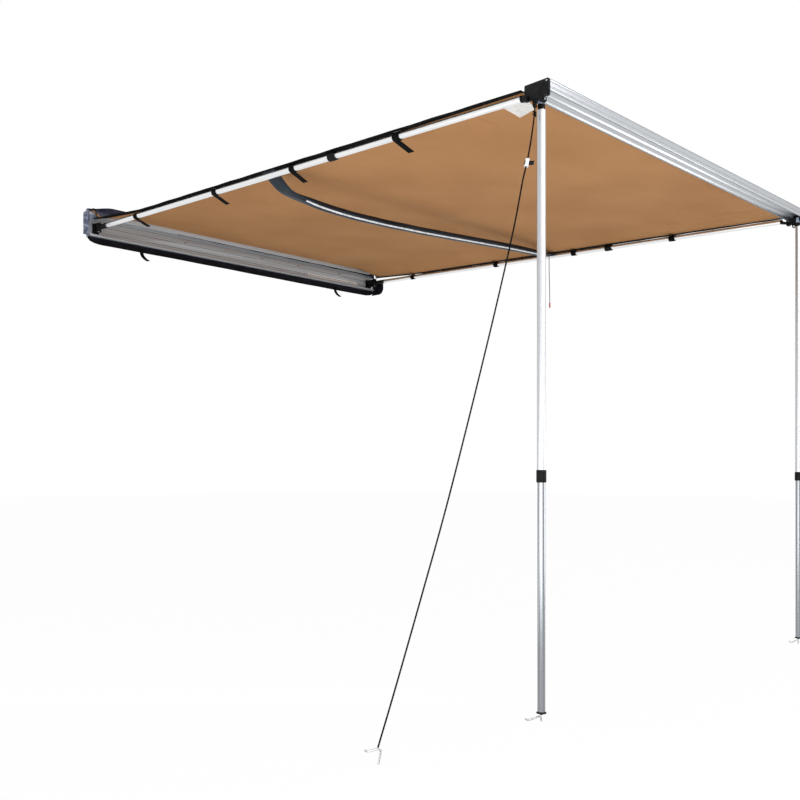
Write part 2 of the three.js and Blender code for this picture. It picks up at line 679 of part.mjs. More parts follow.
// End bracket: end plate, plug in the beam's hollow, fork for the leg, eye for the guy rope
function beamBracket(name, side) {
  const legY = -beamReach - side * troughSpacing / 2;
  const [front, back] = [beamInnerY + bracketForward, beamOuterY - bracketBack];
  const [top, foot] = [beamTop - bracketTopDrop, beamBottom - bracketFoot];
  const outline = [
    [front, top - beamCorner], [front - beamCorner, top],
    [back + beamCorner, top], [back, top - beamCorner],
    [back, foot + beamCorner], [back + beamCorner, foot],
    [front - beamCorner, foot], [front, foot + beamCorner],
  ].map(([a, b]) => new THREE.Vector2(a, b));
  const plateX = [side * bracketInner, side * bracketOuter].sort((a, b) => a - b);
  let body = prism('x', outline, plateX[0], plateX[1]);
  const plugStart = side * (bracketInner + overrun);
  const plugX = [plugStart, side * (bracketInner - bracketPlugLength)].sort((a, b) => a - b);
  body = body.add(box(plugX[0], plugX[1], hollow.back + gap, hollow.front - gap,
    hollow.bottom + gap, hollow.top - gap));
  const forkX = [plugStart, side * legX].sort((a, b) => a - b);
  for (const cheek of [-1, 1]) {
    const inner = legY + cheek * (headTongueThickness / 2 + forkGap);
    const [y0, y1] = [inner, inner + cheek * forkThickness].sort((a, b) => a - b);
    body = body.add(box(forkX[0], forkX[1], y0, y1, pivotHeight - forkRadius, pivotHeight + forkTop));
    const round = rod('y', forkRadius, y0, y1, side * legX, pivotHeight);
    const limit = box(-bracketOuter, bracketOuter, y0 - overrun, y1 + overrun,
      pivotHeight - forkRadius, pivotHeight + forkTop);
    body = body.add(round.intersect(limit));
  }
  const eyeY = -beamReach + troughSpacing / 2;
  const eyeZ = foot - lugDrop;
  const lugX = [side * bracketInner, side * (bracketInner + lugThickness)].sort((a, b) => a - b);
  body = body.add(rod('x', lugRadius, lugX[0], lugX[1], eyeY, eyeZ, smallSides));
  body = body.add(box(lugX[0], lugX[1], eyeY - lugRadius, eyeY + lugRadius, eyeZ, foot + overrun));
  body = body.subtract(rod('x', lugEyeRadius, lugX[0] - overrun, lugX[1] + overrun, eyeY, eyeZ, smallSides));
  const [cutStart, cutEnd] = [plateX[0] - overrun, plateX[1] + overrun];
  body = body.subtract(rod('x', studRadius + gap, cutStart, cutEnd, studY, studZ, smallSides));
  body = body.subtract(rod('x', catchShaftRadius + gap, cutStart, cutEnd, catchY(side),
    beamBottom - catchDrop, smallSides));
  body = body.subtract(rod('y', legBoltRadius + gap, legY - troughRadius, legY + troughRadius,
    side * legX, pivotHeight, smallSides));
  return mesh(name, body, 'blackPlastic');
}

// The catch sits by the trough that its own side's leg leaves free, where the other leg's foot comes to lie.
function catchY(side) {
  return -beamReach + side * troughSpacing / 2 - (side < 0 ? nearCatchShift : farCatchShift);
}

function knob(name, side, radius, length, shaftRadius, shaftEnd, y, z, head) {
  const [start, end] = [bracketOuter + gap, bracketOuter + gap + length];
  const profile = [[0, -end], [radius - knobChamfer, -end], [radius, knobChamfer - end],
    [radius, -start - knobChamfer], [radius - knobChamfer, -start], [shaftRadius, -start],
    [shaftRadius, -shaftEnd]];
  if (head) {
    profile.pop();
    const back = shaftEnd + catchHeadThickness;
    profile.push([shaftRadius, -back], [head, -back], [head, -shaftEnd]);
  }
  profile.push([0, -shaftEnd]);
  const body = turned('y', profile, smallSides).rotate([0, 0, side > 0 ? -90 : 90]).translate([0, y, z]);
  return mesh(name, body, 'blackPlastic');
}

function corner(group, label, side) {
  group.add(beamBracket(`${label}_beam_bracket`, side));
  const studEnd = armX - tipTongueThickness / 2 - studPastTip;
  group.add(knob(`${label}_arm_knob`, side, armKnobRadius, armKnobLength, studRadius, studEnd, studY, studZ));
  group.add(knob(`${label}_leg_catch`, side, catchRadius, catchLength, catchShaftRadius,
    bracketInner - gap - catchHeadThickness, catchY(side), beamBottom - catchDrop, catchHeadRadius));
}

// Telescopic leg, along -Z from its pivot

function legHead(name) {
  const half = headTongueThickness / 2;
  const plugRadius = legTubeRadius - legTubeWall - gap;
  const tongue = rod('y', headTongueRadius, -half, half)
    .add(box(-headTongueRadius, headTongueRadius, -half, half, -headCupTop - overrun, 0));
  const stem = turned('z', [[0, headCupTop], [headCupRadius, headCupTop], [headCupRadius, headCupEnd],
    [plugRadius, headCupEnd], [plugRadius, headPlugEnd], [0, headPlugEnd]]);
  const hole = rod('y', legBoltRadius + gap, -half - overrun, half + overrun, 0, 0, smallSides);
  return mesh(name, tongue.add(stem).subtract(hole), 'greyPlastic');
}

function legBolt(name) {
  const half = headTongueThickness / 2 + forkGap + forkThickness + gap;
  let bolt = rod('y', legBoltRadius, -half, half, 0, 0, smallSides);
  for (const side of [-1, 1]) {
    const ends = [side * half, side * (half + legBoltHeadHeight - gap)].sort((a, b) => a - b);
    bolt = bolt.add(rod('y', legBoltHeadRadius, ends[0], ends[1], 0, 0, smallSides));
  }
  return mesh(name, bolt, 'steel');
}

function legFoot(name, flangeDrop) {
  const plug = legInnerRadius - legTubeWall - gap;
  const bottom = flangeDrop + flangeThickness;
  return mesh(name, turned('z', [[0, flangeDrop - footPlugLength], [plug, flangeDrop - footPlugLength],
    [plug, flangeDrop], [legInnerRadius + gap, flangeDrop], [flangeRadius, flangeDrop + flangeThickness / 2],
    [flangeRadius, bottom], [noseRadius, bottom], [noseTipRadius, bottom + noseLength],
    [0, bottom + noseLength]]), 'blackPlastic');
}

function leg(group, label, side) {
  const holder = new THREE.Group();
  holder.position.set(side * legX, -beamReach - side * troughSpacing / 2, pivotHeight);
  const tubeEnd = legCollarDrop + legCollarLength / 4;
  const flangeDrop = pivotHeight - flangeTop;
  holder.add(legHead(`${label}_leg_head`));
  holder.add(legBolt(`${label}_leg_bolt`));
  holder.add(mesh(`${label}_leg_outer_tube`,
    tube('z', legTubeRadius, legTubeWall, headCupEnd + gap, tubeEnd), 'anodised'));
  holder.add(collar(`${label}_leg_collar`, 'z', legCollarDrop, legCollarRadius, legCollarLength,
    legTubeRadius, legInnerRadius));
  holder.add(mesh(`${label}_leg_inner_tube`,
    tube('z', legInnerRadius, legTubeWall, flangeDrop - gap - legInnerLength, flangeDrop - gap), 'anodised'));
  holder.add(legFoot(`${label}_foot`, flangeDrop));
  group.add(holder);
}

// Steel ground pegs: a shank in the ground and a bent arm with a curled end

function footPeg(name, side) {
  const [x, y] = [side * legX, -beamReach - side * troughSpacing / 2];
  const top = noseBottom - gap - pegRadius;
  const points = vectors([
    [x, y, groundHeight - pegBuried], [x, y, groundHeight], [x, y, top - 2 * pegRadius],
    [x - pegRadius / 3, y, top - pegRadius / 3], [x - 2 * pegRadius, y + pegRadius / 2, top],
    [x - pegArm + 3 * pegRadius, y + pegArmSide - pegRadius, top - pegArmDrop],
    [x - pegArm, y + pegArmSide, top - pegArmDrop + pegCurl],
  ]);
  return mesh(name, run(points, pegRadius, rodSides, rodSteps), 'steel');
}

// Canvas, hung from the rail to the beam and drawn down over the arms at both sides

const spanStart = railFront - easyGap;
const spanEnd = beamInnerY + easyGap;

function spanShare(y) {
  return (spanStart - y) / (spanStart - spanEnd);
}

function settle(y) {
  return Math.max(0, 1 - spanShare(y) / settleShare);
}

function hemLift(y) {
  return mix(hemLiftFront, hemLiftWall, settle(y));
}

function hemEdge(y) {
  return armX + mix(overhangFront, overhangWall, settle(y));
}

function canvasHeight(x, y) {
  const share = spanShare(y);
  const cornerZ = railBoreZ + railBoreInset + easyGap;
  const chord = mix(cornerZ, canvasFrontHeight, share) - canvasSag * Math.sin(Math.PI * share);
  const hem = armHeight(y) + hemLift(y);
  const pull = smooth((Math.abs(x) - armX + pullStart) / (pullStart - pullEnd));
  return mix(chord, hem, pull * smooth((spanStart - y) / wallBend) * smooth((y - spanEnd) / frontBend));
}

function canvasBody() {
  const rowY = [spanStart, spanStart - wallBend / 2, spanStart - wallBend];
  for (let i = 1; i <= canvasRows; i += 1) {
    rowY.push(mix(spanStart - wallBend, spanEnd, i / canvasRows));
  }
  const half = canvasColumnShares.slice(1);
  const shares = [...half.map((share) => -share).reverse(), ...canvasColumnShares];
  const widthAt = (y) => hemEdge(y) - hemWidth - gap;
  const row = (y, width, z) => shares.map((share) => {
    const x = share * width;
    return new THREE.Vector3(x, y, z ?? canvasHeight(x, y));
  });
  const wallWidth = plateLength / 2 - coverPast;
  const grid = [row(railBoreY, wallWidth, railBoreZ)];
  rowY.forEach((y, i) => grid.push(row(y, i ? widthAt(y) : wallWidth)));
  const frontBead = beamBoreRadius - easyGap;
  const frontBeadY = beamInnerY - beamBoreInset;
  grid.push(row(frontBeadY, widthAt(spanEnd), canvasFrontHeight));
  const frontWidth = widthAt(spanEnd);
  const body = sheet(grid, new THREE.Vector3(0, 0, canvasThickness / 2))
    .add(rod('x', railBoreRadius - easyGap, -wallWidth, wallWidth, railBoreY, railBoreZ, smallSides))
    .add(rod('x', frontBead, -frontWidth, frontWidth, frontBeadY, canvasFrontHeight, smallSides));
  return mesh('canvas', body, 'canvas');
}

function sideHem(name, side) {
  const start = spanStart - wallBend;
  const end = beamInnerY + bracketForward + easyGap;
  const grid = [];
  for (let i = 0; i <= canvasRows; i += 1) {
    const y = mix(start, end, i / canvasRows);
    const z = armHeight(y) + hemLift(y);
    const edge = hemEdge(y);
    grid.push([side * (edge - hemWidth), side * edge].map((x) => new THREE.Vector3(x, y, z)));
  }
  return mesh(name, sheet(grid, new THREE.Vector3(0, 0, hemThickness / 2)), 'binding');
}

// Light sleeve below the canvas: flat where it lies on the arms, round the light between them

const sleeveY = -sleeveReachShare * beamReach;

function sleeveRing(x, drop, widthShare, heightShare) {
  return circle(0.5, 0, 0, smallSides).map((p) => {
    const y = sleeveY + p.x * widthShare * sleeveEndWidth;
    return new THREE.Vector3(x, y, armHeight(y) - drop + p.y * heightShare * sleeveHeight);
  });
}

function lightSleeve() {
  const onArm = -armTubeRadius - easyGap - sleeveThickness / 2;
  const flatShare = sleeveThickness / sleeveHeight;
  const inboard = armX - sleeveOverArm;
  const flats = [armX + sleeveOverArm, armX, inboard];
  const rings = [
    ...flats.map((x) => sleeveRing(-x, onArm, 1, flatShare)),
    ...sleeveShares.map(([way, drop, wide, high]) => sleeveRing(way * inboard, drop * sleeveSag, wide, high)),
    ...flats.reverse().map((x) => sleeveRing(x, onArm, sleeveFarShare, flatShare)),
  ];
  return mesh('light_sleeve', loft(rings), 'sleeve');
}

function lightCable(group) {
  const points = vectors(cablePoints);
  const end = points[points.length - 1];
  group.add(mesh('light_cable', run(points, cableRadius, rodSides, rodSteps), 'cable'));
  const cap = rod('z', capRadius, end.z - gap - capLength, end.z - gap, end.x, end.y, smallSides);
  group.add(mesh('light_cable_cap', cap, 'redCap'));
}

// Cover, open: a flap that stands above the plate, one that hangs below it, and its two ends

function coverTopFlap() {
  const end = plateLength / 2 + coverPast;
  const columns = 2 * smallSides;
  const bottom = plateTop + gap;
  const grid = [0, 1 / 3, 2 / 3, 1].map((level) => Array.from({ length: columns + 1 }, (_, j) => {
    const x = mix(-end, end, j / columns);
    const height = mix(coverTopEndHeight, coverTopHeight, smooth((x + end) / coverTopEndRun));
    const y = -coverThickness - coverLean * level * level;
    return new THREE.Vector3(x, y, bottom + height * level);
  }));
  return mesh('cover_top_flap', sheet(grid, new THREE.Vector3(0, coverThickness / 2, 0)), 'cover');
}

function coverLowerFlap() {
  const end = plateLength / 2 + coverPast;
  const columns = 2 * tubeSides;
  const top = plateBottom - gap;
  const depthAt = (x) => {
    const share = smooth((end - Math.abs(x)) / coverLowerEndRun);
    return mix(coverLowerEndDepth, coverLowerDepth, share);
  };
  const grid = [0, 1 / 2, 1].map((level) => Array.from({ length: columns + 1 }, (_, j) => {
    const x = mix(-end, end, j / columns);
    return new THREE.Vector3(x, -coverThickness - coverLean * level, top - depthAt(x) * level);
  }));
  let body = sheet(grid, new THREE.Vector3(0, coverThickness / 2, 0));
  const edge = end - coverLowerEndRun;
  body = body.add(rod('x', coverBeadRadius, -edge, edge, -coverThickness - coverLean,
    top - coverLowerDepth, smallSides / 2));
  for (const share of coverStrapShares) {
    const x = share * plateLength / 2;
    body = body.add(box(x - coverStrapWidth / 2, x + coverStrapWidth / 2,
      -coverThickness - coverLean - coverStrapThickness, -coverThickness - coverLean,
      top - coverLowerDepth / 2 - coverStrapLength, top - coverLowerDepth / 2));
  }
  return mesh('cover_lower_flap', body, 'cover');
}

// The far end wall stands out from the plate beside the arm's hinge.
function coverFarEnd() {
  const x = plateLength / 2 + coverPast + gap;
  const bottom = plateBottom - endPanelDrop;
  const outline = [
    [0, plateBottom + endPanelRise], [0, bottom], [-endPanelDepth + endPanelCorner, bottom],
    [-endPanelDepth + endPanelCorner * (1 - Math.SQRT1_2), bottom + endPanelCorner * (1 - Math.SQRT1_2)],
    [-endPanelDepth, bottom + endPanelCorner], [-endPanelDepth, bottom + endPanelRise],
  ].map(([a, b]) => new THREE.Vector2(a, b));
  return mesh('cover_far_end', prism('x', outline, x, x + coverThickness), 'cover');
}

// The near end wall stands out beside the plate's end and is turned away from it.
function coverNearEnd() {
  const half = coverThickness / 2;
  const x = -plateLength / 2 - coverPast - gap - half;
  const heights = [plateBottom - endPanelDrop / 3, plateTop + coverTopEndHeight];
  const grid = endFoldShares.map(([across, out]) => heights.map((z) => (
    new THREE.Vector3(x - across * endFoldWidth, -half - out * endFoldDepth, z))));
  return mesh('cover_near_end', sheet(grid, new THREE.Vector3(half, -half, 0)), 'cover');
}

// Guy rope from the near bracket's eye to its peg, with the slider on it

function guyRope(group) {
  const points = vectors(ropePoints);
  group.add(mesh('guy_rope', run(points, ropeRadius, rodSides, ropeSteps), 'rope'));
  const middle = points[sliderPointIndex];
  const direction = points[sliderPointIndex + 1].clone().sub(points[sliderPointIndex - 1]).normalize();
  const turn = new THREE.Quaternion().setFromUnitVectors(unitZ, direction);
  const bore = ropeRadius + easyGap;
  const ring = prism('z', circle(sliderRadius, 0, 0, smallSides), -sliderLength / 2, sliderLength / 2,
    [circle(bore, 0, 0, smallSides)]);
  const slider = mesh('guy_slider', ring, 'greyPlastic');
  slider.position.copy(middle);
  slider.quaternion.copy(turn);
  group.add(slider);
  const end = points[points.length - 1];
  const fall = end.clone().sub(points[points.length - 2]).normalize();
  const endDrop = ropeRadius * Math.hypot(fall.x, fall.y) + gap + pegRadius;
  const top = end.clone().add(new THREE.Vector3(4 * pegRadius, 0, -endDrop));
  const lean = (depth) => top.x - depth * Math.tan(THREE.MathUtils.degToRad(guyPegLean));
  const foot = top.z - guyPegHeight - pegBuried;
  const route = vectors([
    [lean(top.z - foot), top.y, foot], [lean(guyPegHeight), top.y, top.z - guyPegHeight],
    [lean(3 * pegRadius), top.y, top.z - 3 * pegRadius], [top.x - pegRadius, top.y, top.z - pegRadius / 2],
    [top.x - 3 * pegRadius, top.y, top.z],
    [top.x - guyPegArm + pegRadius, top.y + pegArmSide / 2, top.z],
    [top.x - guyPegArm, top.y + pegArmSide / 2, top.z + pegRadius],
  ]);
  group.add(mesh('guy_peg', run(route, pegRadius, rodSides, rodSteps), 'steel'));
}

// The awning

const awning = new THREE.Group();
awning.add(backPlate());
awning.add(canvasRail());
for (const [label, side, reach, collarShare] of [
  ['near', -1, nearHingeReach, nearCollarShare],
  ['far', 1, nearHingeReach + laneSpacing, farCollarShare],
]) {
  awning.add(hingeBlock(`${label}_hinge_block`, side * armX, reach));
  awning.add(hingePin(`${label}_hinge_pin`, side * armX, reach));
  awning.add(knuckle(`${label}_knuckle`, side * armX, reach));
  arm(awning, label, side, reach, collarShare);
  corner(awning, label, side);
  leg(awning, label, side);
  awning.add(footPeg(`${label}_foot_peg`, side));
  awning.add(sideHem(`${label}_side_hem`, side));
}
awning.add(frontBeam());
awning.add(canvasBody());
awning.add(lightSleeve());
lightCable(awning);
awning.add(coverTopFlap());
awning.add(coverLowerFlap());
awning.add(coverFarEnd());
awning.add(coverNearEnd());
guyRope(awning);

export default awning;
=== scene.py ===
# %% [markdown]
# # Vehicle side awning
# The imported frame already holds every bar, hinge and strap in its true place. This notebook dresses
# it: rigid parts get soft edges and the fine parts a frame leaves out, and cloth and rope are made
# anew as cloth and rope. Lengths are in metres, Z is up and the awning reaches out along -Y.

import json
import math
from functools import partial

import bpy
import numpy as np
from mathutils import Matrix, Vector
from mathutils.bvhtree import BVHTree

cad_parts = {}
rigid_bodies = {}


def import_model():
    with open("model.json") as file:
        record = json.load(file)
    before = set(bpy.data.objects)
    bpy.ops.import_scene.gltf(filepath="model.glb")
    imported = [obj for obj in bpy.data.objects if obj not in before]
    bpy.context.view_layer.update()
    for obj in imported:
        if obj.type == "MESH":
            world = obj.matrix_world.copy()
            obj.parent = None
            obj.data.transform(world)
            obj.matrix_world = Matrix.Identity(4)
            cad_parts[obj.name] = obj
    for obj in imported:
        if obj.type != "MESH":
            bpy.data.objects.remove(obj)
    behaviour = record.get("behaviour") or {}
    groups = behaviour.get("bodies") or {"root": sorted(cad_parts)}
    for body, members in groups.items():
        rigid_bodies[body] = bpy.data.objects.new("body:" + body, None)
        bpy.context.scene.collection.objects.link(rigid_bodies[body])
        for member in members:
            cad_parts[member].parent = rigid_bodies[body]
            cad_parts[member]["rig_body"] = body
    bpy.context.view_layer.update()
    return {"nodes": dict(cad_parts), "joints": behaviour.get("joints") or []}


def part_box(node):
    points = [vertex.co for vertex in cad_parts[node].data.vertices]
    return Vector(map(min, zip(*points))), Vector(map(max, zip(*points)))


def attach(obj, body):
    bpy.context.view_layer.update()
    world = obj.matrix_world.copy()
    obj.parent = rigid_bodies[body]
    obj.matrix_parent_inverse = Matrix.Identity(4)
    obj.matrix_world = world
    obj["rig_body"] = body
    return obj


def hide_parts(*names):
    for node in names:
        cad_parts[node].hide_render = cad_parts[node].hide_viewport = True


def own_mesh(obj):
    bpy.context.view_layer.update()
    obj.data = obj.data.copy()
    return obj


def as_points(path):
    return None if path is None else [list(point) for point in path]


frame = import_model()
joints = {joint["name"]: joint for joint in frame["joints"]}
MM = 0.001

# %% [markdown]
# ## Camera
# A camera that stands at a person's chest height and looks level keeps the legs upright in the
# picture. The lens is shifted up instead of tilted, as an architect's camera is, to take the roof in.

# %% Camera
EYE = Vector((-3.333, -4.635, -1.3465))
VIEW_TURN = math.radians(-45.09)
SENSOR_WIDTH, LENS, SHIFT_UP = 36, 41.45, 0.0955
camera_data = bpy.data.cameras.new("studio_camera")
camera_data.sensor_width = SENSOR_WIDTH
camera_data.lens = LENS
camera_data.shift_y = SHIFT_UP
camera = bpy.data.objects.new("studio_camera", camera_data)
camera.location = EYE
camera.rotation_euler = (math.radians(90), 0, VIEW_TURN)
bpy.context.collection.objects.link(camera)
bpy.context.scene.camera = camera
print("camera lens", camera_data.lens)

# %% [markdown]
# ## Colours and nodes
# Paint charts and photographs give colours as sRGB hex values, but a shader works in linear light,
# so one function turns one into the other. A second one adds a node with its settings and links, and
# the others make what most finishes share: a place for the pattern, two tones, haze and relief.

# %% Colours


def linear(code):
    """An sRGB hex code as linear red, green, blue and a full alpha."""
    values = [int(code[i:i + 2], 16) / 255 for i in (0, 2, 4)]
    values = [v / 12.92 if v <= 0.04045 else ((v + 0.055) / 1.055) ** 2.4 for v in values]
    return (*values, 1.0)


print("half grey is", round(linear("808080")[0], 3), "in linear light")

# %% Nodes


def add_node(tree, kind, inputs=None, **settings):
    node = tree.nodes.new(kind)
    for key, value in settings.items():
        setattr(node, key, value)
    for key, value in (inputs or {}).items():
        if isinstance(value, bpy.types.NodeSocket):
            tree.links.new(value, node.inputs[key])
        else:
            node.inputs[key].default_value = value
    return node


def new_material(name, roughness, metallic=0.0, **sockets):
    material = bpy.data.materials.new(name)
    material.use_nodes = True
    shader = material.node_tree.nodes["Principled BSDF"]
    shader.inputs["Roughness"].default_value = roughness
    shader.inputs["Metallic"].default_value = metallic
    for key, value in sockets.items():
        shader.inputs[key.replace("_", " ")].default_value = value
    return material, material.node_tree, shader


def place_vector(tree, scale=(1, 1, 1), source="Object"):
    coordinates = add_node(tree, "ShaderNodeTexCoord")
    return add_node(tree, "ShaderNodeMapping", {"Vector": coordinates.outputs[source], "Scale": scale})


def two_tones(tree, factor, dark, light, low=0.35, high=0.65):
    ramp = add_node(tree, "ShaderNodeValToRGB", {"Fac": factor})
    stops = ramp.color_ramp.elements
    stops[0].position, stops[0].color = low, linear(dark)
    stops[1].position, stops[1].color = high, linear(light)
    return ramp.outputs["Color"]


def cloudy_roughness(tree, shader, factor, roughness, less, more):
    """Lets the roughness follow a pattern, a little below and above its middle value."""
    haze = add_node(tree, "ShaderNodeMapRange", {
        "Value": factor, "To Min": roughness - less, "To Max": roughness + more})
    tree.links.new(haze.outputs["Result"], shader.inputs["Roughness"])


def bump(tree, height, depth, strength=0.5, under=None):
    inputs = {"Height": height, "Distance": depth, "Strength": strength}
    if under is not None:
        inputs["Normal"] = under
    return add_node(tree, "ShaderNodeBump", inputs).outputs["Normal"]


print("node helpers ready")

# %% [markdown]
# ## Anodised aluminium
# Extruded bars carry faint lines along their length from the die, and the clear anodised skin over
# them is satin, so highlights run as long soft streaks. Noise stretched along the bar gives both.
# Each finish is made for one direction, because the lines follow the bar. The inner legs are bright
# drawn tube in a darker tone, painted shade of their reflections; the beam is a darker tone than the
# arms, painted shade of its underside and troughs; the plate is plain mill aluminium, which is duller
# and less mirror-like.

# %% Extruded aluminium
DIE_LINE = 6 * MM
DIE_LINE_LENGTH = 1500 * MM
DIE_HAZE = (0.03, 0.04)


def extruded_aluminium(name, along, dark, light, roughness, metallic=1.0):
    scale = [1 / DIE_LINE] * 3
    scale[along] = 1 / DIE_LINE_LENGTH
    material, tree, shader = new_material(name, roughness, metallic)
    place = place_vector(tree, scale).outputs["Vector"]
    lines = add_node(tree, "ShaderNodeTexNoise", {"Vector": place, "Scale": 1.0, "Detail": 1.0})
    tree.links.new(two_tones(tree, lines.outputs["Fac"], dark, light), shader.inputs["Base Color"])
    cloudy_roughness(tree, shader, lines.outputs["Fac"], roughness, *DIE_HAZE)
    return material


X, Y, Z = 0, 1, 2
# The beam's tone is darker than the arms': painted shade of its underside and troughs.
anodised_bar_painted_shade = extruded_aluminium("anodised_aluminium_bar_painted_shade", X, "bbbec2", "c6c9cc", 0.32)
anodised_arm = extruded_aluminium("anodised_aluminium_arm", Y, "e9eaeb", "f1f2f2", 0.32)
anodised_leg = extruded_aluminium("satin_anodised_aluminium_leg", Z, "c2c4c7", "ced0d3", 0.36)
# Inner legs: darker base colour, painted shade of the dark side their reflections show.
inner_leg_painted_shade = extruded_aluminium("bright_drawn_aluminium_leg_painted_shade", Z, "898d91", "979a9e", 0.22)
mill_plate = extruded_aluminium("mill_aluminium_plate", X, "9fa4a9", "b1b6bb", 0.5, 0.3)
# Dark rib finish: painted shade of the grooves and gaps along plate and beam.
rib_shade = extruded_aluminium("painted_groove_shade_aluminium", X, "6b6f73", "787c80", 0.6, 0.2)
print("aluminium finishes made")

# %% [markdown]
# ## Moulded nylon, steel and small plastics
# Black glass-filled nylon comes out of a spark-eroded mould with a fine even grit. Zinc-plated
# steel is a little cloudy. Both are plain noise patterns at their true grain, with few tones.

# %% Moulded and plated finishes
MOULD_GRIT, MOULD_GRIT_DEPTH = 0.7 * MM, 0.08 * MM
WEAR_PER_METRE = 60.0
PLATING_CLOUD = 6 * MM
PLATING_HAZE = (0.08, 0.1)


def moulded_plastic(name, dark, light, roughness, coat=0.0, gloss=0.5):
    material, tree, shader = new_material(name, roughness, Coat_Weight=coat, Specular_IOR_Level=gloss)
    place = place_vector(tree).outputs["Vector"]
    grit = add_node(tree, "ShaderNodeTexNoise", {"Vector": place, "Scale": 1 / MOULD_GRIT, "Detail": 2.0})
    wear = add_node(tree, "ShaderNodeTexNoise", {"Vector": place, "Scale": WEAR_PER_METRE, "Detail": 4.0})
    tree.links.new(two_tones(tree, wear.outputs["Fac"], dark, light), shader.inputs["Base Color"])
    tree.links.new(bump(tree, grit.outputs["Fac"], MOULD_GRIT_DEPTH), shader.inputs["Normal"])
    return material


def plated_steel(name, dark, light, roughness):
    material, tree, shader = new_material(name, roughness, 1.0)
    cloud = add_node(tree, "ShaderNodeTexNoise", {
        "Vector": place_vector(tree).outputs["Vector"], "Scale": 1 / PLATING_CLOUD, "Detail": 5.0})
    tree.links.new(two_tones(tree, cloud.outputs["Fac"], dark, light), shader.inputs["Base Color"])
    cloudy_roughness(tree, shader, cloud.outputs["Fac"], roughness, *PLATING_HAZE)
    return material


black_nylon = moulded_plastic("black_nylon_moulded", "070708", "111213", 0.5, gloss=0.14)
grey_nylon = moulded_plastic("grey_blue_nylon_moulded", "7d8a9b", "96a3b3", 0.45)
clear_white_nylon = moulded_plastic("white_nylon_moulded", "d7dadc", "eceeef", 0.3)
cable_sheath = moulded_plastic("grey_cable_sheath", "2e3033", "3f4145", 0.5, gloss=0.2)
red_cap_plastic = moulded_plastic("red_polythene_cap", "a8141d", "c4202a", 0.3, 0.4)
zinc_steel = plated_steel("zinc_plated_steel", "a3a6a8", "c3c5c6", 0.33)
print("moulded and plated finishes made")

# %% [markdown]
# ## Woven and coated cloth
# The roof is a proofed poly-cotton: two sets of threads cross, and the proofing leaves broad, soft
# changes of tone. Two wave textures at right angles draw the threads, spaced about twice as wide as
# the real ones so that they still show, and a wide noise draws the tone. The cover and the sleeve
# are coated cloth: their creases catch the light, and the thread hardly shows through the coating.

# %% Woven cloth
CANVAS_THREAD, WEBBING_THREAD = 1.6 * MM, 1.8 * MM
CREASE_SIZE, CREASE_DEPTH = 110 * MM, 5 * MM
WEAVE_SHARE = 0.18
TWO_PI = 2 * math.pi
WAVE_UNIT = 20


def threads(tree, place, spacing, direction):
    wave = add_node(tree, "ShaderNodeTexWave", {
        "Vector": place, "Scale": TWO_PI / (WAVE_UNIT * spacing), "Distortion": 0.6, "Detail": 1.0},
        bands_direction=direction)
    return wave.outputs["Fac"]


def woven_cloth(name, dark, light, spacing, roughness, tone_size, depth, directions="XY",
                crease_depth=0.0, **sockets):
    material, tree, shader = new_material(name, roughness, **sockets)
    place = place_vector(tree).outputs["Vector"]
    warp = threads(tree, place, spacing, directions[0])
    weft = threads(tree, place, spacing, directions[1])
    weave = add_node(tree, "ShaderNodeMath", {0: warp, 1: weft}, operation="MULTIPLY").outputs[0]
    tone = add_node(tree, "ShaderNodeTexNoise", {"Vector": place, "Scale": 1 / tone_size, "Detail": 6.0})
    both = add_node(tree, "ShaderNodeMath", {0: weave, 1: WEAVE_SHARE, 2: tone.outputs["Fac"]},
                    operation="MULTIPLY_ADD").outputs[0]
    tree.links.new(two_tones(tree, both, dark, light, 0.3, 0.85), shader.inputs["Base Color"])
    creases = add_node(tree, "ShaderNodeTexNoise", {
        "Vector": place, "Scale": 1 / CREASE_SIZE, "Detail": 4.0, "Distortion": 1.6})
    under = bump(tree, creases.outputs["Fac"], crease_depth, 0.5) if crease_depth else None
    tree.links.new(bump(tree, weave, depth, 0.6, under), shader.inputs["Normal"])
    return material


print("threads", round(1 / CANVAS_THREAD), "per metre of canvas")

# %% Coated cloth
SCRIM_DEPTH = 0.05 * MM
STREAK, STREAK_LENGTH = 7 * MM, 260 * MM


def coated_cloth(name, dark, light, roughness, crease_size, depth, gloss=0.3):
    material, tree, shader = new_material(name, roughness, Specular_IOR_Level=gloss)
    place = place_vector(tree).outputs["Vector"]
    creases = add_node(tree, "ShaderNodeTexNoise", {
        "Vector": place, "Scale": 1 / crease_size, "Detail": 5.0, "Distortion": 1.2})
    scrim = add_node(tree, "ShaderNodeTexNoise", {"Vector": place, "Scale": 1 / WEBBING_THREAD})
    tree.links.new(two_tones(tree, creases.outputs["Fac"], dark, light), shader.inputs["Base Color"])
    thread = bump(tree, scrim.outputs["Fac"], SCRIM_DEPTH, 0.3)
    tree.links.new(bump(tree, creases.outputs["Fac"], depth, 0.6, thread), shader.inputs["Normal"])
    return material


def streaked_cloth(name, dark, light, roughness, depth):
    """Coated cloth pulled tight along X: its creases and its tones run lengthwise."""
    material, tree, shader = new_material(name, roughness, Specular_IOR_Level=0.18)
    place = place_vector(tree, (1 / STREAK_LENGTH, 1 / STREAK, 1 / STREAK)).outputs["Vector"]
    streaks = add_node(tree, "ShaderNodeTexNoise", {"Vector": place, "Scale": 1.0, "Detail": 3.0})
    tones = two_tones(tree, streaks.outputs["Fac"], dark, light, 0.3, 0.7)
    tree.links.new(tones, shader.inputs["Base Color"])
    tree.links.new(bump(tree, streaks.outputs["Fac"], depth, 0.5), shader.inputs["Normal"])
    return material


print("coated cloth recipes ready")

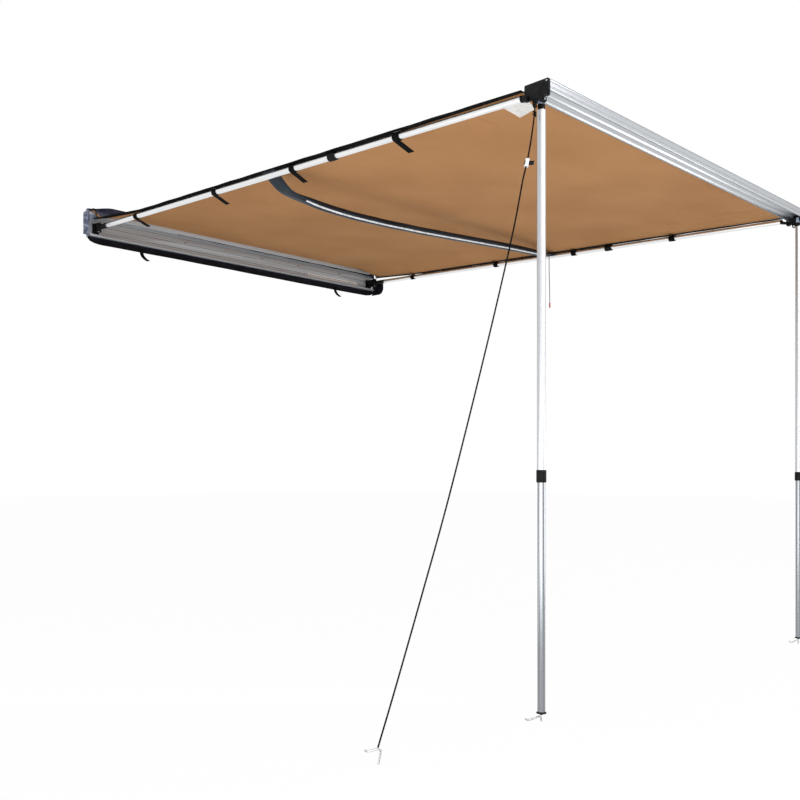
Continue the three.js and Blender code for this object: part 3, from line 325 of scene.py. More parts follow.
# %% Cloth finishes
tan_canvas = woven_cloth("tan_polycotton_canvas", "a1744a", "b4865a", CANVAS_THREAD, 0.9,
                         420 * MM, 0.25 * MM, crease_depth=CREASE_DEPTH, Specular_IOR_Level=0.2)
black_webbing = woven_cloth("black_polyester_webbing", "060607", "141416", WEBBING_THREAD, 0.85,
                            30 * MM, 0.3 * MM, Specular_IOR_Level=0.08)
cover_cloth = coated_cloth("navy_black_coated_cloth", "0b0c11", "181a24", 0.5, 70 * MM, 2 * MM, 0.12)
cover_inside = coated_cloth("navy_cover_inside", "1c1d2b", "3a3c4e", 0.55, 40 * MM, 2 * MM, 0.15)
cover_lining = coated_cloth("blue_grey_cover_lining", "3a3f50", "8c94a8", 0.6, 34 * MM, 5 * MM)
sleeve_cloth = streaked_cloth("navy_grey_coated_sleeve", "070f18", "25313d", 0.42, 3 * MM)
white_patch_cloth = coated_cloth("white_coated_patch", "c9c8c6", "e4e3e0", 0.5, 12 * MM, 0.5 * MM)
silver_diffuser = moulded_plastic("silver_light_diffuser", "b9c0c8", "dfe3e7", 0.25, 0.3)
print("cloth finishes made")

# %% [markdown]
# ## Cords
# A guy rope is three strands laid round each other. The centreline is the route that the frame's
# rope takes, and the section is a rounded triangle that turns once per lay, so the strands and their
# diagonal sheen are real shape. The light's thin cable is a plain round sheath on the same tool.

# %% Smooth routes


def smooth_route(points, step):
    """Points on a centripetal Catmull-Rom curve through the route's points, about a step apart."""
    p = [Vector(point) for point in points]
    p = [2 * p[0] - p[1], *p, 2 * p[-1] - p[-2]]
    route = []
    for i in range(1, len(p) - 2):
        a, b, c, d = p[i - 1:i + 3]
        t0, t1 = 0.0, math.sqrt((b - a).length)
        t2 = t1 + math.sqrt((c - b).length)
        t3 = t2 + math.sqrt((d - c).length)
        count = max(2, round((c - b).length / step))
        for k in range(count):
            t = t1 + (t2 - t1) * k / count
            ab = a.lerp(b, (t - t0) / (t1 - t0))
            bc = b.lerp(c, (t - t1) / (t2 - t1))
            cd = c.lerp(d, (t - t2) / (t3 - t2))
            abc = ab.lerp(bc, (t - t0) / (t2 - t0))
            bcd = bc.lerp(cd, (t - t1) / (t3 - t1))
            route.append(abc.lerp(bcd, (t - t1) / (t2 - t1)))
    return [*route, p[-2]]


def route_length(route):
    return sum((b - a).length for a, b in zip(route, route[1:]))


print("route helpers ready")

# %% Pieces from points


def new_piece(name, vertices, faces, edges=()):
    mesh = bpy.data.meshes.new(name)
    mesh.from_pydata([tuple(v) for v in vertices], list(edges), faces)
    mesh.update()
    piece = bpy.data.objects.new(name, mesh)
    bpy.context.collection.objects.link(piece)
    return piece


def smooth_all(piece):
    piece.data.polygons.foreach_set("use_smooth", [True] * len(piece.data.polygons))


def laid_tube(name, route, radius, sides, strands=0, lay=1.0, strand_depth=0.0):
    """A tube along a route, its section lobed by its strands and turned once per lay."""
    vertices, faces, along = [], [], 0.0
    for i, point in enumerate(route):
        ahead = (route[min(i + 1, len(route) - 1)] - route[max(i - 1, 0)]).normalized()
        side = ahead.cross(Vector((0, 1, 0))).normalized()
        up = side.cross(ahead)
        if i:
            along += (point - route[i - 1]).length
        for k in range(sides):
            angle = TWO_PI * k / sides
            turned = strands * (angle - TWO_PI * along / lay)
            lobe = 1 - strand_depth * (0.5 - 0.5 * math.cos(turned))
            vertices.append(point + (side * math.cos(angle) + up * math.sin(angle)) * radius * lobe)
    for i in range(len(route) - 1):
        for k in range(sides):
            a, b = i * sides + k, i * sides + (k + 1) % sides
            faces.append((a, b, b + sides, a + sides))
    last = (len(route) - 1) * sides
    faces.append(tuple(range(sides - 1, -1, -1)))
    faces.append(tuple(range(last, last + sides)))
    return new_piece(name, vertices, faces)


print("piece and tube helpers ready")

# %% Guy rope and light cable
ROPE_DIAMETER = 5.5 * MM
ROPE_LAY = 21 * MM
ROPE_SIDES, ROPE_STRANDS, STRAND_DEPTH = 15, 3, 0.28
STEPS_PER_LAY = 8
FIBRE, FIBRE_DEPTH = 1.1 * MM, 0.3 * MM
ROPE_POINTS = [
    (-1.002, -2.905, -0.190), (-1.004, -2.905, -0.215), (-1.020, -2.904, -0.300), (-1.039, -2.902, -0.377),
    (-1.058, -2.901, -0.434), (-1.091, -2.898, -0.563), (-1.180, -2.891, -0.849), (-1.374, -2.876, -1.414),
    (-1.480, -2.868, -1.690), (-1.583, -2.860, -1.951), (-1.622, -2.857, -2.046), (-1.632, -2.856, -2.071)]
CABLE_DIAMETER = 4 * MM
CABLE_SIDES = 16
CABLE_STEP = 6 * MM
CABLE_POINTS = [(0.967, -1.543, -0.092), (0.968, -1.543, -0.180), (0.972, -1.543, -0.270),
                (0.974, -1.543, -0.358)]


def braided_rope(name, dark, light):
    material, tree, shader = new_material(name, 0.8, Specular_IOR_Level=0.08)
    place = place_vector(tree).outputs["Vector"]
    fibre = add_node(tree, "ShaderNodeTexNoise", {"Vector": place, "Scale": 1 / FIBRE, "Detail": 3.0})
    tones = two_tones(tree, fibre.outputs["Fac"], dark, light, 0.45, 0.75)
    tree.links.new(tones, shader.inputs["Base Color"])
    tree.links.new(bump(tree, fibre.outputs["Fac"], FIBRE_DEPTH), shader.inputs["Normal"])
    return material


rope_fibre = braided_rope("black_polyester_rope", "040405", "151517")
rope_route = smooth_route(ROPE_POINTS, ROPE_LAY / STEPS_PER_LAY)
guy_rope = laid_tube("guy_rope_laid", rope_route, ROPE_DIAMETER / 2, ROPE_SIDES, ROPE_STRANDS, ROPE_LAY,
                     STRAND_DEPTH)
guy_rope.data.materials.append(rope_fibre)
cable_route = smooth_route(CABLE_POINTS, CABLE_STEP)
light_cable = laid_tube("light_cable_lead", cable_route, CABLE_DIAMETER / 2, CABLE_SIDES)
light_cable.data.materials.append(cable_sheath)
smooth_all(guy_rope)
smooth_all(light_cable)
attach(guy_rope, "front")
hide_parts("guy_rope")
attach(light_cable, "wall_side")
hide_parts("light_cable")
print("rope", round(route_length(rope_route), 3), "m, cable", round(route_length(cable_route), 3), "m")

# %% [markdown]
# ## Rigid pieces
# A rigid part of the frame has the right form but razor edges, which catch no light. A merged copy
# of it gets its flat faces joined again and a small round on every sharp edge. An operator works on
# all that is selected, so each helper first picks one piece, or none of its points.

# %% Picking and editing


def only(piece):
    bpy.ops.object.select_all(action="DESELECT")
    piece.select_set(True)
    bpy.context.view_layer.objects.active = piece


def edit(piece):
    only(piece)
    bpy.ops.object.mode_set(mode="EDIT")
    bpy.ops.mesh.select_all(action="SELECT")


def edit_end():
    bpy.ops.object.mode_set(mode="OBJECT")


def select_nothing(piece, mode):
    """Leaves a piece's points, edges or faces unselected, so that code can pick some of them."""
    edit(piece)
    bpy.ops.mesh.select_mode(type=mode)
    bpy.ops.mesh.select_all(action="DESELECT")
    edit_end()


def face_outward(piece):
    edit(piece)
    bpy.ops.mesh.normals_make_consistent(inside=False)
    edit_end()


print("picking and editing helpers ready")

# %% Copies with rounded edges
EDGE_ROUND = 0.5 * MM
WELD = 0.01 * MM
FLAT_ANGLE = math.radians(0.5)


def apply_modifier(piece, kind, **settings):
    only(piece)
    modifier = piece.modifiers.new(kind.lower(), kind)
    for key, value in settings.items():
        setattr(modifier, key, value)
    bpy.ops.object.modifier_apply(modifier=modifier.name)


def round_edges(piece, width, segments=2, angle=35):
    apply_modifier(piece, "BEVEL", width=width, segments=segments, limit_method="ANGLE",
                   angle_limit=math.radians(angle), harden_normals=False)


def finish_piece(piece, material, body, stands_for=(), smooth=35):
    """Gives a piece its finish and its smooth faces, and lets it move with its body."""
    if material is not None:
        piece.data.materials.clear()
        piece.data.materials.append(material)
    only(piece)
    bpy.ops.object.shade_smooth_by_angle(angle=math.radians(smooth))
    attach(piece, body)
    if stands_for:
        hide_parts(*stands_for)
    return piece


def merged_copy(node, name):
    piece = bpy.data.objects.new(name, frame["nodes"][node].data.copy())
    bpy.context.collection.objects.link(piece)
    piece.data.materials.clear()
    edit(piece)
    bpy.ops.mesh.remove_doubles(threshold=WELD)
    bpy.ops.mesh.dissolve_limited(angle_limit=FLAT_ANGLE)
    edit_end()
    return piece


def body_of_node(node):
    return frame["nodes"][node]["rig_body"]


def dress(node, name, material, width=EDGE_ROUND, segments=2):
    piece = merged_copy(node, name)
    round_edges(piece, width, segments)
    return finish_piece(piece, material, body_of_node(node), [node])


def box_of(node):
    low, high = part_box(node)
    return Vector(low), Vector(high), (Vector(low) + Vector(high)) / 2


print("edges of copies get a round of", EDGE_ROUND)

# %% [markdown]
# ## Spun shapes and blocks
# Tubes, collars, knobs and feet are turned parts, so they are spun from an outline that is drawn by
# extruding a point. Many sides keep them smooth from close by, where the frame's own would show
# flats. Ribs and strips start as a cube at their size and place, and chosen edges are then rounded.

# %% Spun and block shapes


def drawn_outline(name, outline, closed):
    """Draws an outline of (radius, distance) points: a plane merged to one point, then extruded on."""
    bpy.ops.object.select_all(action="DESELECT")
    bpy.ops.mesh.primitive_plane_add(size=MM, location=(0, 0, 0))
    piece = bpy.context.object
    piece.name = piece.data.name = name
    bpy.ops.object.mode_set(mode="EDIT")
    bpy.ops.mesh.select_mode(type="VERT")
    bpy.ops.mesh.merge(type="CENTER")
    bpy.ops.transform.translate(value=(outline[0][0], 0, outline[0][1]))
    for (r0, d0), (r1, d1) in zip(outline, outline[1:]):
        bpy.ops.mesh.extrude_region_move(TRANSFORM_OT_translate={"value": (r1 - r0, 0, d1 - d0)})
    if closed:
        bpy.ops.object.mode_set(mode="OBJECT")
        piece.data.vertices[0].select = True
        bpy.ops.object.mode_set(mode="EDIT")
        bpy.ops.mesh.edge_face_add()
    bpy.ops.mesh.select_all(action="SELECT")
    return piece


def spun(name, outline, place, sides=48, closed=True):
    """A drawn outline spun round Z, its seam and poles closed, then put in place by a matrix."""
    piece = drawn_outline(name, outline, closed)
    bpy.ops.mesh.spin(steps=sides, angle=TWO_PI, center=(0, 0, 0), axis=(0, 0, 1))
    bpy.ops.mesh.select_all(action="SELECT")
    bpy.ops.mesh.remove_doubles(threshold=WELD)
    bpy.ops.mesh.normals_make_consistent(inside=False)
    edit_end()
    piece.data.transform(place)
    return piece


def block(name, low, high):
    """A cube added at the size and place between two corners."""
    low, high = Vector(low), Vector(high)
    bpy.ops.object.select_all(action="DESELECT")
    bpy.ops.mesh.primitive_cube_add(size=1, location=(low + high) / 2, scale=high - low)
    piece = bpy.context.object
    piece.name = piece.data.name = name
    bpy.ops.object.transform_apply(location=True, rotation=True, scale=True)
    return piece


def bevel_edges(piece, chosen, width, segments):
    """Rounds the edges for which chosen(first end, second end) is true."""
    select_nothing(piece, "EDGE")
    points = [v.co for v in piece.data.vertices]
    for edge in piece.data.edges:
        edge.select = bool(chosen(points[edge.vertices[0]], points[edge.vertices[1]]))
    bpy.ops.object.mode_set(mode="EDIT")
    bpy.ops.mesh.bevel(offset=width, segments=segments)
    edit_end()


def pointing(start, direction):
    """The matrix that puts a piece's Z axis at a start point along a direction."""
    turn = Vector((0, 0, 1)).rotation_difference(Vector(direction))
    return Matrix.Translation(start) @ turn.to_matrix().to_4x4()


print("spin and block helpers ready")

# %% [markdown]
# ## Legs and arms
# Both are two tubes that slide in each other and are locked by a twist collar. Each tube is an
# open ring spun round its own axis. The axis comes from the frame's joints, and the two ends from
# the frame's own tube, so a longer arm in the frame gives a longer arm here.

# %% Tubes
TUBE_WALL, TUBE_LIP, TUBE_SIDES = 1.2 * MM, 0.3 * MM, 64
ARM_RADIUS, ARM_INNER_RADIUS = 12.5 * MM, 11 * MM
LEG_RADIUS, LEG_INNER_RADIUS = 14 * MM, 12.5 * MM
SIDES = (("near", -1), ("far", 1))
DOWN = Vector((0, 0, -1))
OUTWARD = -Vector(joints["beam_slide"]["axis"]).normalized()


def axis_span(node, start, direction):
    """Where along an axis a node begins and ends."""
    points = np.array([v.co for v in frame["nodes"][node].data.vertices])
    along = (points - np.array(start)) @ np.array(direction)
    return float(along.min()), float(along.max())


def tube(node, name, radius, start, direction, material):
    first, last = axis_span(node, start, direction)
    inside, lip = radius - TUBE_WALL, TUBE_LIP
    outline = [(inside, first), (radius - lip, first), (radius, first + lip), (radius, last - lip),
               (radius - lip, last), (inside, last)]
    piece = spun(name, outline, pointing(start, direction), TUBE_SIDES)
    return finish_piece(piece, material, body_of_node(node), [node])


arm_start = {side: Vector(joints[side + "_arm_tilt"]["pos_m"]) for side, _ in SIDES}
leg_start = {side: Vector(joints[side + "_leg_fold"]["pos_m"]) for side, _ in SIDES}
for side, _ in SIDES:
    for limb, part, radius, start, direction, finish in (
            ("_arm", "outer", ARM_RADIUS, arm_start, OUTWARD, anodised_arm),
            ("_arm", "inner", ARM_INNER_RADIUS, arm_start, OUTWARD, anodised_arm),
            ("_leg", "outer", LEG_RADIUS, leg_start, DOWN, anodised_leg),
            ("_leg", "inner", LEG_INNER_RADIUS, leg_start, DOWN, inner_leg_painted_shade)):
        tube(f"{side}{limb}_{part}_tube", f"{side}{limb}_tube_{part}", radius, start[side], direction, finish)
print("tubes, arms along", [round(value, 3) for value in OUTWARD])

# %% [markdown]
# ## Twist collars
# A collar is a short moulded sleeve, waisted near its upper end, with grip ribs that a hand can
# turn. It is spun once, and every fourth side face below the waist is pressed in as a groove.

# %% Collars
COLLAR_SIDES = 48
COLLAR_ROUND = 2.2 * MM
ARM_COLLAR_RADIUS, LEG_COLLAR_RADIUS = 16.4 * MM, 15.9 * MM
WAIST_SHARE, STEP_SHARE = 0.2, 0.76
COLLAR_PLAY, WAIST_DIP = 0.3 * MM, 0.7 * MM
GROOVE_EVERY, GROOVE_INSET, GROOVE_DEPTH = 4, 0.35 * MM, 0.6 * MM


def collar(node, name, radius, tube_radius, inner_radius, start, direction):
    first, last = axis_span(node, start, direction)
    waist = first + WAIST_SHARE * (last - first)
    step = first + STEP_SHARE * (last - first)
    play, dip = COLLAR_PLAY, WAIST_DIP
    outline = [(tube_radius + play, first), (radius - COLLAR_ROUND, first),
               (radius - 0.6 * MM, first + 0.9 * MM), (radius, first + COLLAR_ROUND),
               (radius, waist - dip), (radius - dip, waist), (radius, waist + dip),
               (radius, last - COLLAR_ROUND), (radius - 0.6 * MM, last - 0.9 * MM),
               (radius - COLLAR_ROUND, last), (inner_radius + play, last), (inner_radius + play, step),
               (tube_radius + play, step)]
    piece = spun(name, outline, Matrix.Identity(4), COLLAR_SIDES)
    select_nothing(piece, "FACE")
    grooves = 0
    for face in piece.data.polygons:
        middle = face.center
        turn = round(math.atan2(middle.y, middle.x) / TWO_PI * COLLAR_SIDES - 0.5) % GROOVE_EVERY
        grip = waist + dip < middle.z < last - COLLAR_ROUND
        face.select = grip and turn == 0 and math.hypot(middle.x, middle.y) > radius - 0.2 * MM
        grooves += face.select
    only(piece)
    bpy.ops.object.mode_set(mode="EDIT")
    bpy.ops.mesh.inset(thickness=GROOVE_INSET, depth=-GROOVE_DEPTH, use_individual=True)
    edit_end()
    piece.data.transform(pointing(start, direction))
    finish_piece(piece, black_nylon, body_of_node(node), [node])
    return grooves


for side, _ in SIDES:
    collar(side + "_arm_collar", side + "_arm_twist_collar", ARM_COLLAR_RADIUS, ARM_RADIUS, ARM_INNER_RADIUS,
           arm_start[side], OUTWARD)
    grooves = collar(side + "_leg_collar", side + "_leg_twist_collar", LEG_COLLAR_RADIUS, LEG_RADIUS,
                     LEG_INNER_RADIUS, leg_start[side], DOWN)
print("collars with", grooves, "grip grooves each")

# %% [markdown]
# ## Hinges, brackets and feet
# These are injection mouldings with ribs and eyes. Their copies get a rounder edge than the metal,
# as a mould needs. The leg's head is one grey tongue in a black cup, so its faces take two finishes.

# %% Mouldings
MOULD_ROUND, SMALL_ROUND, HEAD_ROUND = 0.9 * MM, 0.6 * MM, 0.7 * MM
CUP_BELOW_PIVOT = 15.8 * MM
for side, _ in SIDES:
    dress(side + "_hinge_block", side + "_hinge_block_moulding", black_nylon, MOULD_ROUND)
    dress(side + "_knuckle", side + "_knuckle_moulding", black_nylon, SMALL_ROUND)
    dress(side + "_arm_root_fitting", side + "_arm_root_moulding", black_nylon, SMALL_ROUND)
    dress(side + "_arm_tip", side + "_arm_tip_moulding", black_nylon, SMALL_ROUND)
    dress(side + "_beam_bracket", side + "_beam_end_moulding", black_nylon, MOULD_ROUND)
    dress(side + "_hinge_pin", side + "_hinge_pin_turned", zinc_steel, SMALL_ROUND)
    dress(side + "_leg_bolt", side + "_leg_bolt_turned", zinc_steel)
    head = merged_copy(side + "_leg_head", side + "_leg_head_moulding")
    round_edges(head, HEAD_ROUND)
    head.data.materials.append(grey_nylon)
    head.data.materials.append(black_nylon)
    cup_top = leg_start[side].z - CUP_BELOW_PIVOT
    for face in head.data.polygons:
        face.material_index = int(face.center.z < cup_top)
    finish_piece(head, None, body_of_node(side + "_leg_head"), [side + "_leg_head"])
print("mouldings dressed")

# %% [markdown]
# ## Knobs and catches
# A clamp knob has lobes for the fingers. It is spun as a plain disc on its threaded shank, and then
# the rim is pressed in between the lobes in three steps, which gives them a soft flow.

# %% Knobs
KNOB_LOBES, KNOB_SIDES = 5, 60
PRESSES = ((0.62, 0.97), (0.36, 0.95), (0.14, 0.97))
KNOB_PLAY, END_BEVEL = 0.3 * MM, 0.6 * MM
KNOB_RADIUS, CATCH_RADIUS, SHANK_RADIUS = 10.5 * MM, 8 * MM, 3 * MM
KNOB_ROUND, CATCH_ROUND = 1.8 * MM, 1.5 * MM
CATCH_HEAD = (6 * MM, 5 * MM)


def press_between_lobes(piece, radius, grip, lobes):
    """Scales the rim's points towards the axis, most of all midway between two lobes."""
    for reach_share, scale in PRESSES:
        select_nothing(piece, "VERT")
        for v in piece.data.vertices:
            place = (math.atan2(v.co.y, v.co.x) / TWO_PI * lobes) % 1.0
            rim = math.hypot(v.co.x, v.co.y) > radius * 0.6 and v.co.z < grip + 0.1 * MM
            v.select = rim and abs(place - 0.5) * 2 < reach_share
        bpy.ops.object.mode_set(mode="EDIT")
        bpy.ops.transform.resize(value=(scale, scale, 1), center_override=(0, 0, 0))
        edit_end()


def knob(node, name, radius, lobes, shank, face_round, head=None):
    """A grip outside the bracket's plate on a shank that reaches in, with a head there if given."""
    low, high, middle = box_of(node)
    side = -1 if middle.x < 0 else 1
    outer = low.x if side < 0 else high.x
    inner = high.x if side < 0 else low.x
    length = abs(outer - inner)
    bracket_low, bracket_high, _ = box_of(("near" if side < 0 else "far") + "_beam_bracket")
    plate = bracket_low.x if side < 0 else bracket_high.x
    grip = abs(outer - plate) - KNOB_PLAY
    outline = [(0, 0), (radius - 2 * face_round, 0), (radius - face_round, 0.4 * face_round),
               (radius, face_round), (radius, grip - face_round), (radius - face_round, grip),
               (shank, grip)]
    if head:
        back = length - head[1]
        outline += [(shank, back), (head[0], back), (head[0], length - END_BEVEL),
                    (head[0] - END_BEVEL, length)]
    else:
        outline += [(shank, length - END_BEVEL), (shank - END_BEVEL, length)]
    outline.append((0, length))
    piece = spun(name, outline, Matrix.Identity(4), KNOB_SIDES, closed=False)
    if lobes:
        press_between_lobes(piece, radius, grip, lobes)
    piece.data.transform(pointing((outer, middle.y, middle.z), (-side, 0, 0)))
    return finish_piece(piece, black_nylon, body_of_node(node), [node], smooth=50)


for side, _ in SIDES:
    knob(side + "_arm_knob", side + "_arm_clamp_knob", KNOB_RADIUS, KNOB_LOBES, SHANK_RADIUS, KNOB_ROUND)
    knob(side + "_leg_catch", side + "_leg_catch_knob", CATCH_RADIUS, 0, SHANK_RADIUS, CATCH_ROUND,
         CATCH_HEAD)
print("knobs made")

# %% [markdown]
# ## Feet, pegs and screws
# The foot is a soft cap with a drooping brim that sheds mud. The pegs are bent steel rod, so their
# copy only needs one round of subdivision to become a smooth rod. Screw heads are spun domes.

# %% Feet and pegs
FOOT_PLUG_RADIUS, FOOT_PLUG_LENGTH, FOOT_NECK_RADIUS = 10.6 * MM, 30 * MM, 12.9 * MM
BRIM_ABOVE_TIP = 5.5 * MM
BRIM_AND_TIP = ((14.2, -4.2), (15.9, -2.6), (16.3, -0.8), (15.9, 0), (14.6, 0), (13.8, -1.4), (7, -1.4),
                (5.2, -0.5), (4.6, 3.4))
TIP_RADIUS = 3.4 * MM
for side, _ in SIDES:
    node = side + "_foot"
    first, last = axis_span(node, leg_start[side], DOWN)
    brim, plug_end = last - BRIM_ABOVE_TIP, first + FOOT_PLUG_LENGTH
    outline = [(0, first), (FOOT_PLUG_RADIUS, first), (FOOT_PLUG_RADIUS, plug_end),
               (FOOT_NECK_RADIUS, plug_end)]
    outline += [(radius * MM, brim + below * MM) for radius, below in BRIM_AND_TIP]
    outline += [(TIP_RADIUS, last), (0, last)]
    foot = spun(side + "_foot_cap", outline, pointing(leg_start[side], DOWN), closed=False)
    finish_piece(foot, black_nylon, body_of_node(node), [node], smooth=45)
for node in ("near_foot_peg", "far_foot_peg"):
    peg = merged_copy(node, node + "_bent_rod")
    apply_modifier(peg, "SUBSURF", levels=1, render_levels=1)
    finish_piece(peg, zinc_steel, body_of_node(node), [node], smooth=60)
guy_peg = frame["nodes"]["guy_peg"]
guy_peg.data.materials.clear()
guy_peg.data.materials.append(zinc_steel)
print("feet and pegs made")

# %% Screw heads on the end brackets
SCREW_RADIUS, SCREW_HEIGHT, SCREW_SIDES = 3.2 * MM, 2.2 * MM, 32
SCREW_IN, SCREW_DOWN = 8 * MM, 7 * MM
SCREW_FORM = ((0, 1), (0.25, 1), (0.3, 0.55), (0.42, 0.55), (0.5, 1), (0.8, 0.85), (1, 0.45), (1, 0), (0, 0))
for side, sign in SIDES:
    low, high, _ = box_of(side + "_beam_bracket")
    place = (low.x if sign < 0 else high.x, low.y + SCREW_IN, high.z - SCREW_DOWN)
    outline = [(radius * SCREW_RADIUS, height * SCREW_HEIGHT) for radius, height in SCREW_FORM]
    screw = spun(side + "_bracket_screw", outline, pointing(place, (sign, 0, 0)), SCREW_SIDES, closed=False)
    finish_piece(screw, zinc_steel, "front", smooth=50)
print("bracket screws made")

# %% [markdown]
# ## Extrusions
# Plate, rail and beam are pushed through a die, so one section runs from end to end. Their copies
# keep the frame's section with small edge rounds. Plate and beam get low ribs along them in a dark
# finish that paints the shade of their grooves and gaps, and the plate's proud bolt heads are the
# only faces of it that are zinc-plated.

# %% Plate, rail and beam
RAIL_ROUND = 0.4 * MM
PROUD_OF, BOLT_BAND = -3.7 * MM, 9 * MM
back_plate = merged_copy("back_plate", "back_plate_extrusion")
round_edges(back_plate, EDGE_ROUND)
back_plate.data.materials.append(mill_plate)
back_plate.data.materials.append(zinc_steel)
for face in back_plate.data.polygons:
    proud = face.center.y < PROUD_OF and abs(face.center.z) < BOLT_BAND
    face.material_index = int(proud)
finish_piece(back_plate, None, "wall_side", ["back_plate"])
dress("canvas_rail", "canvas_rail_extrusion", mill_plate, RAIL_ROUND)
dress("front_beam", "front_beam_extrusion", anodised_bar_painted_shade)
print("plate, rail and beam dressed")

# %% Ribs
RIB_SUNK = 0.3 * MM
WEB_FACE = -3.5 * MM
PLATE_RIBS, PLATE_RIB_WIDTH, PLATE_RIB_HEIGHT = (-38, -8, 20, 31), 3.2 * MM, 1.6 * MM
BEAM_RIBS, BEAM_RIB_WIDTH, BEAM_RIB_HEIGHT = (-122.5, -143), 1.8 * MM, 0.6 * MM
LIP_LINE_WIDTH, LIP_LINE_HEIGHT, LIP_MIDDLE = 2.2 * MM, 0.5 * MM, 2.2 * MM


def rib(name, x0, x1, face_y, z, width, height, body):
    """A low rounded rib along X that stands out of a face that looks towards -Y, dark as painted shade of a
    groove.
    """
    piece = block(name, (x0, face_y - height, z - width / 2), (x1, face_y + RIB_SUNK, z + width / 2))

    def long_front(a, b):
        return max(a.y, b.y) < face_y and abs(a.x - b.x) > width

    bevel_edges(piece, long_front, 0.8 * height, 3)
    return finish_piece(piece, rib_shade, body)


def lip_line(name, y):
    """A thin dark line along a trough's lip, on the face that looks down: painted shade of the trough."""
    half = LIP_LINE_WIDTH / 2
    line = block(name, (beam_low.x, y - half, beam_low.z - LIP_LINE_HEIGHT),
                 (beam_high.x, y + half, beam_low.z + RIB_SUNK))

    def long_lower(a, b):
        return max(a.z, b.z) < beam_low.z and abs(a.x - b.x) > half

    bevel_edges(line, long_lower, 0.7 * LIP_LINE_HEIGHT, 2)
    return finish_piece(line, rib_shade, "front")


plate_low, plate_high, _ = box_of("back_plate")
rail_low, rail_high, rail_middle = box_of("canvas_rail")
beam_low, beam_high, _ = box_of("front_beam")
for i, height in enumerate(PLATE_RIBS):
    rib(f"plate_rib_{i + 1}", plate_low.x, plate_high.x, WEB_FACE, height * MM, PLATE_RIB_WIDTH,
        PLATE_RIB_HEIGHT, "wall_side")
for i, height in enumerate(BEAM_RIBS):
    rib(f"beam_face_rib_{i + 1}", beam_low.x, beam_high.x, beam_low.y, height * MM, BEAM_RIB_WIDTH,
        BEAM_RIB_HEIGHT, "front")
# Two dark lines along the trough lips: painted shade of the troughs.
lip_line("beam_lip_line_outer", beam_low.y + LIP_MIDDLE)
lip_line("beam_lip_line_inner", beam_high.y - LIP_MIDDLE)
print("extrusions", round(plate_high.x - plate_low.x, 3), round(beam_high.x - beam_low.x, 3))

# %% [markdown]
# ## Canvas
# The roof hangs from its bead in the rail to its bead in the beam, and its side hems are strapped
# down to the arms. Its heights are read from the frame's own canvas by dropping rays on it, then
# evened out, so the cloth follows the frame. Low tension folds that run in from the straps and the
# corners are added on top, since a strapped canvas is never quite flat.

# %% Reading the frame's canvas
CANVAS_THICKNESS = 1.2 * MM
EDGE_PLAY, SIDE_PLAY, HEM_PLAY = 0.4 * MM, 1.5 * MM, 0.3 * MM
WALL_TAPER = 28 * MM


def clamped(share):
    return min(1.0, max(0.0, share))


def tree_of(piece):
    """A search tree of a piece's faces, for dropping rays on them."""
    mesh = piece.data
    return BVHTree.FromPolygons([v.co for v in mesh.vertices], [tuple(p.vertices) for p in mesh.polygons])


def edge_lines(node):
    """How a hem's inner edge, outer edge and height change with the distance out."""
    points = np.array([v.co for v in frame["nodes"][node].data.vertices])
    rows = sorted(set(np.round(points[:, 1], 5)))
    found = [points[np.abs(points[:, 1] - y) < 1e-4] for y in rows]
    inner = [np.abs(row[:, 0]).min() for row in found]
    outer = [np.abs(row[:, 0]).max() for row in found]
    height = [row[:, 2].mean() for row in found]
    return np.array(rows), np.array(inner), np.array(outer), np.array(height)


hem_y, hem_inner, hem_outer, hem_height = edge_lines("near_side_hem")
canvas_tree = tree_of(frame["nodes"]["canvas"])
wall_y = rail_low.y - EDGE_PLAY
front_y = beam_high.y + EDGE_PLAY
wall_half = box_of("canvas")[1].x - SIDE_PLAY


def half_width(y):
    """Half the canvas's width at a distance out: full at the rail, then just inside the hems."""
    inside = float(np.interp(y, hem_y, hem_inner)) - HEM_PLAY
    near_wall = clamped((wall_y - y) / WALL_TAPER)
    return wall_half + (inside - wall_half) * near_wall


def canvas_drop(x, y):
    hit = canvas_tree.ray_cast(Vector((x, y, 1.0)), DOWN)[0]
    return hit.z - CANVAS_THICKNESS / 2 if hit else None


print("hems read at", len(hem_y), "places")

# %% Tension folds
STRAP_PULL, CORNER_FAN, WALL_WAVE = 1.3 * MM, 1.1 * MM, 1.0 * MM
STRAP_REACH, FAN_REACH, WALL_REACH = 0.34, 0.5, 0.55
strap_y = [[box_of(f"{side}_arm_strap_{i}")[2].y for side, _ in SIDES] for i in range(1, 5)]


def tension_folds(x, y, half):
    """Small folds: pulled in at each strap, fanned at the front corners, wide waves by the wall."""
    edge = max(0.0, 1 - (half - abs(x)) / STRAP_REACH)
    height = 0.0
    for near_y, far_y in strap_y:
        pull_y = near_y if x < 0 else far_y
        spread = 0.05 + 0.22 * (half - abs(x))
        away = (y - pull_y) / spread
        height -= STRAP_PULL * edge ** 2 * math.exp(-away * away)
    corner = math.hypot(half - abs(x), (y - front_y) * 0.8)
    fan = math.atan2(y - front_y, half - abs(x))
    height += CORNER_FAN * math.exp(-corner / FAN_REACH) * math.sin(9 * fan) * min(1.0, corner / 0.12)
    wall = WALL_WAVE * math.exp((y - wall_y) / WALL_REACH)
    height += wall * math.sin(x * 9.1 + 0.7 * math.sin(y * 5.0)) * min(1.0, (wall_y - y) / 0.1)
    return height


print("straps pull at", [round(near_y, 2) for near_y, _ in strap_y])

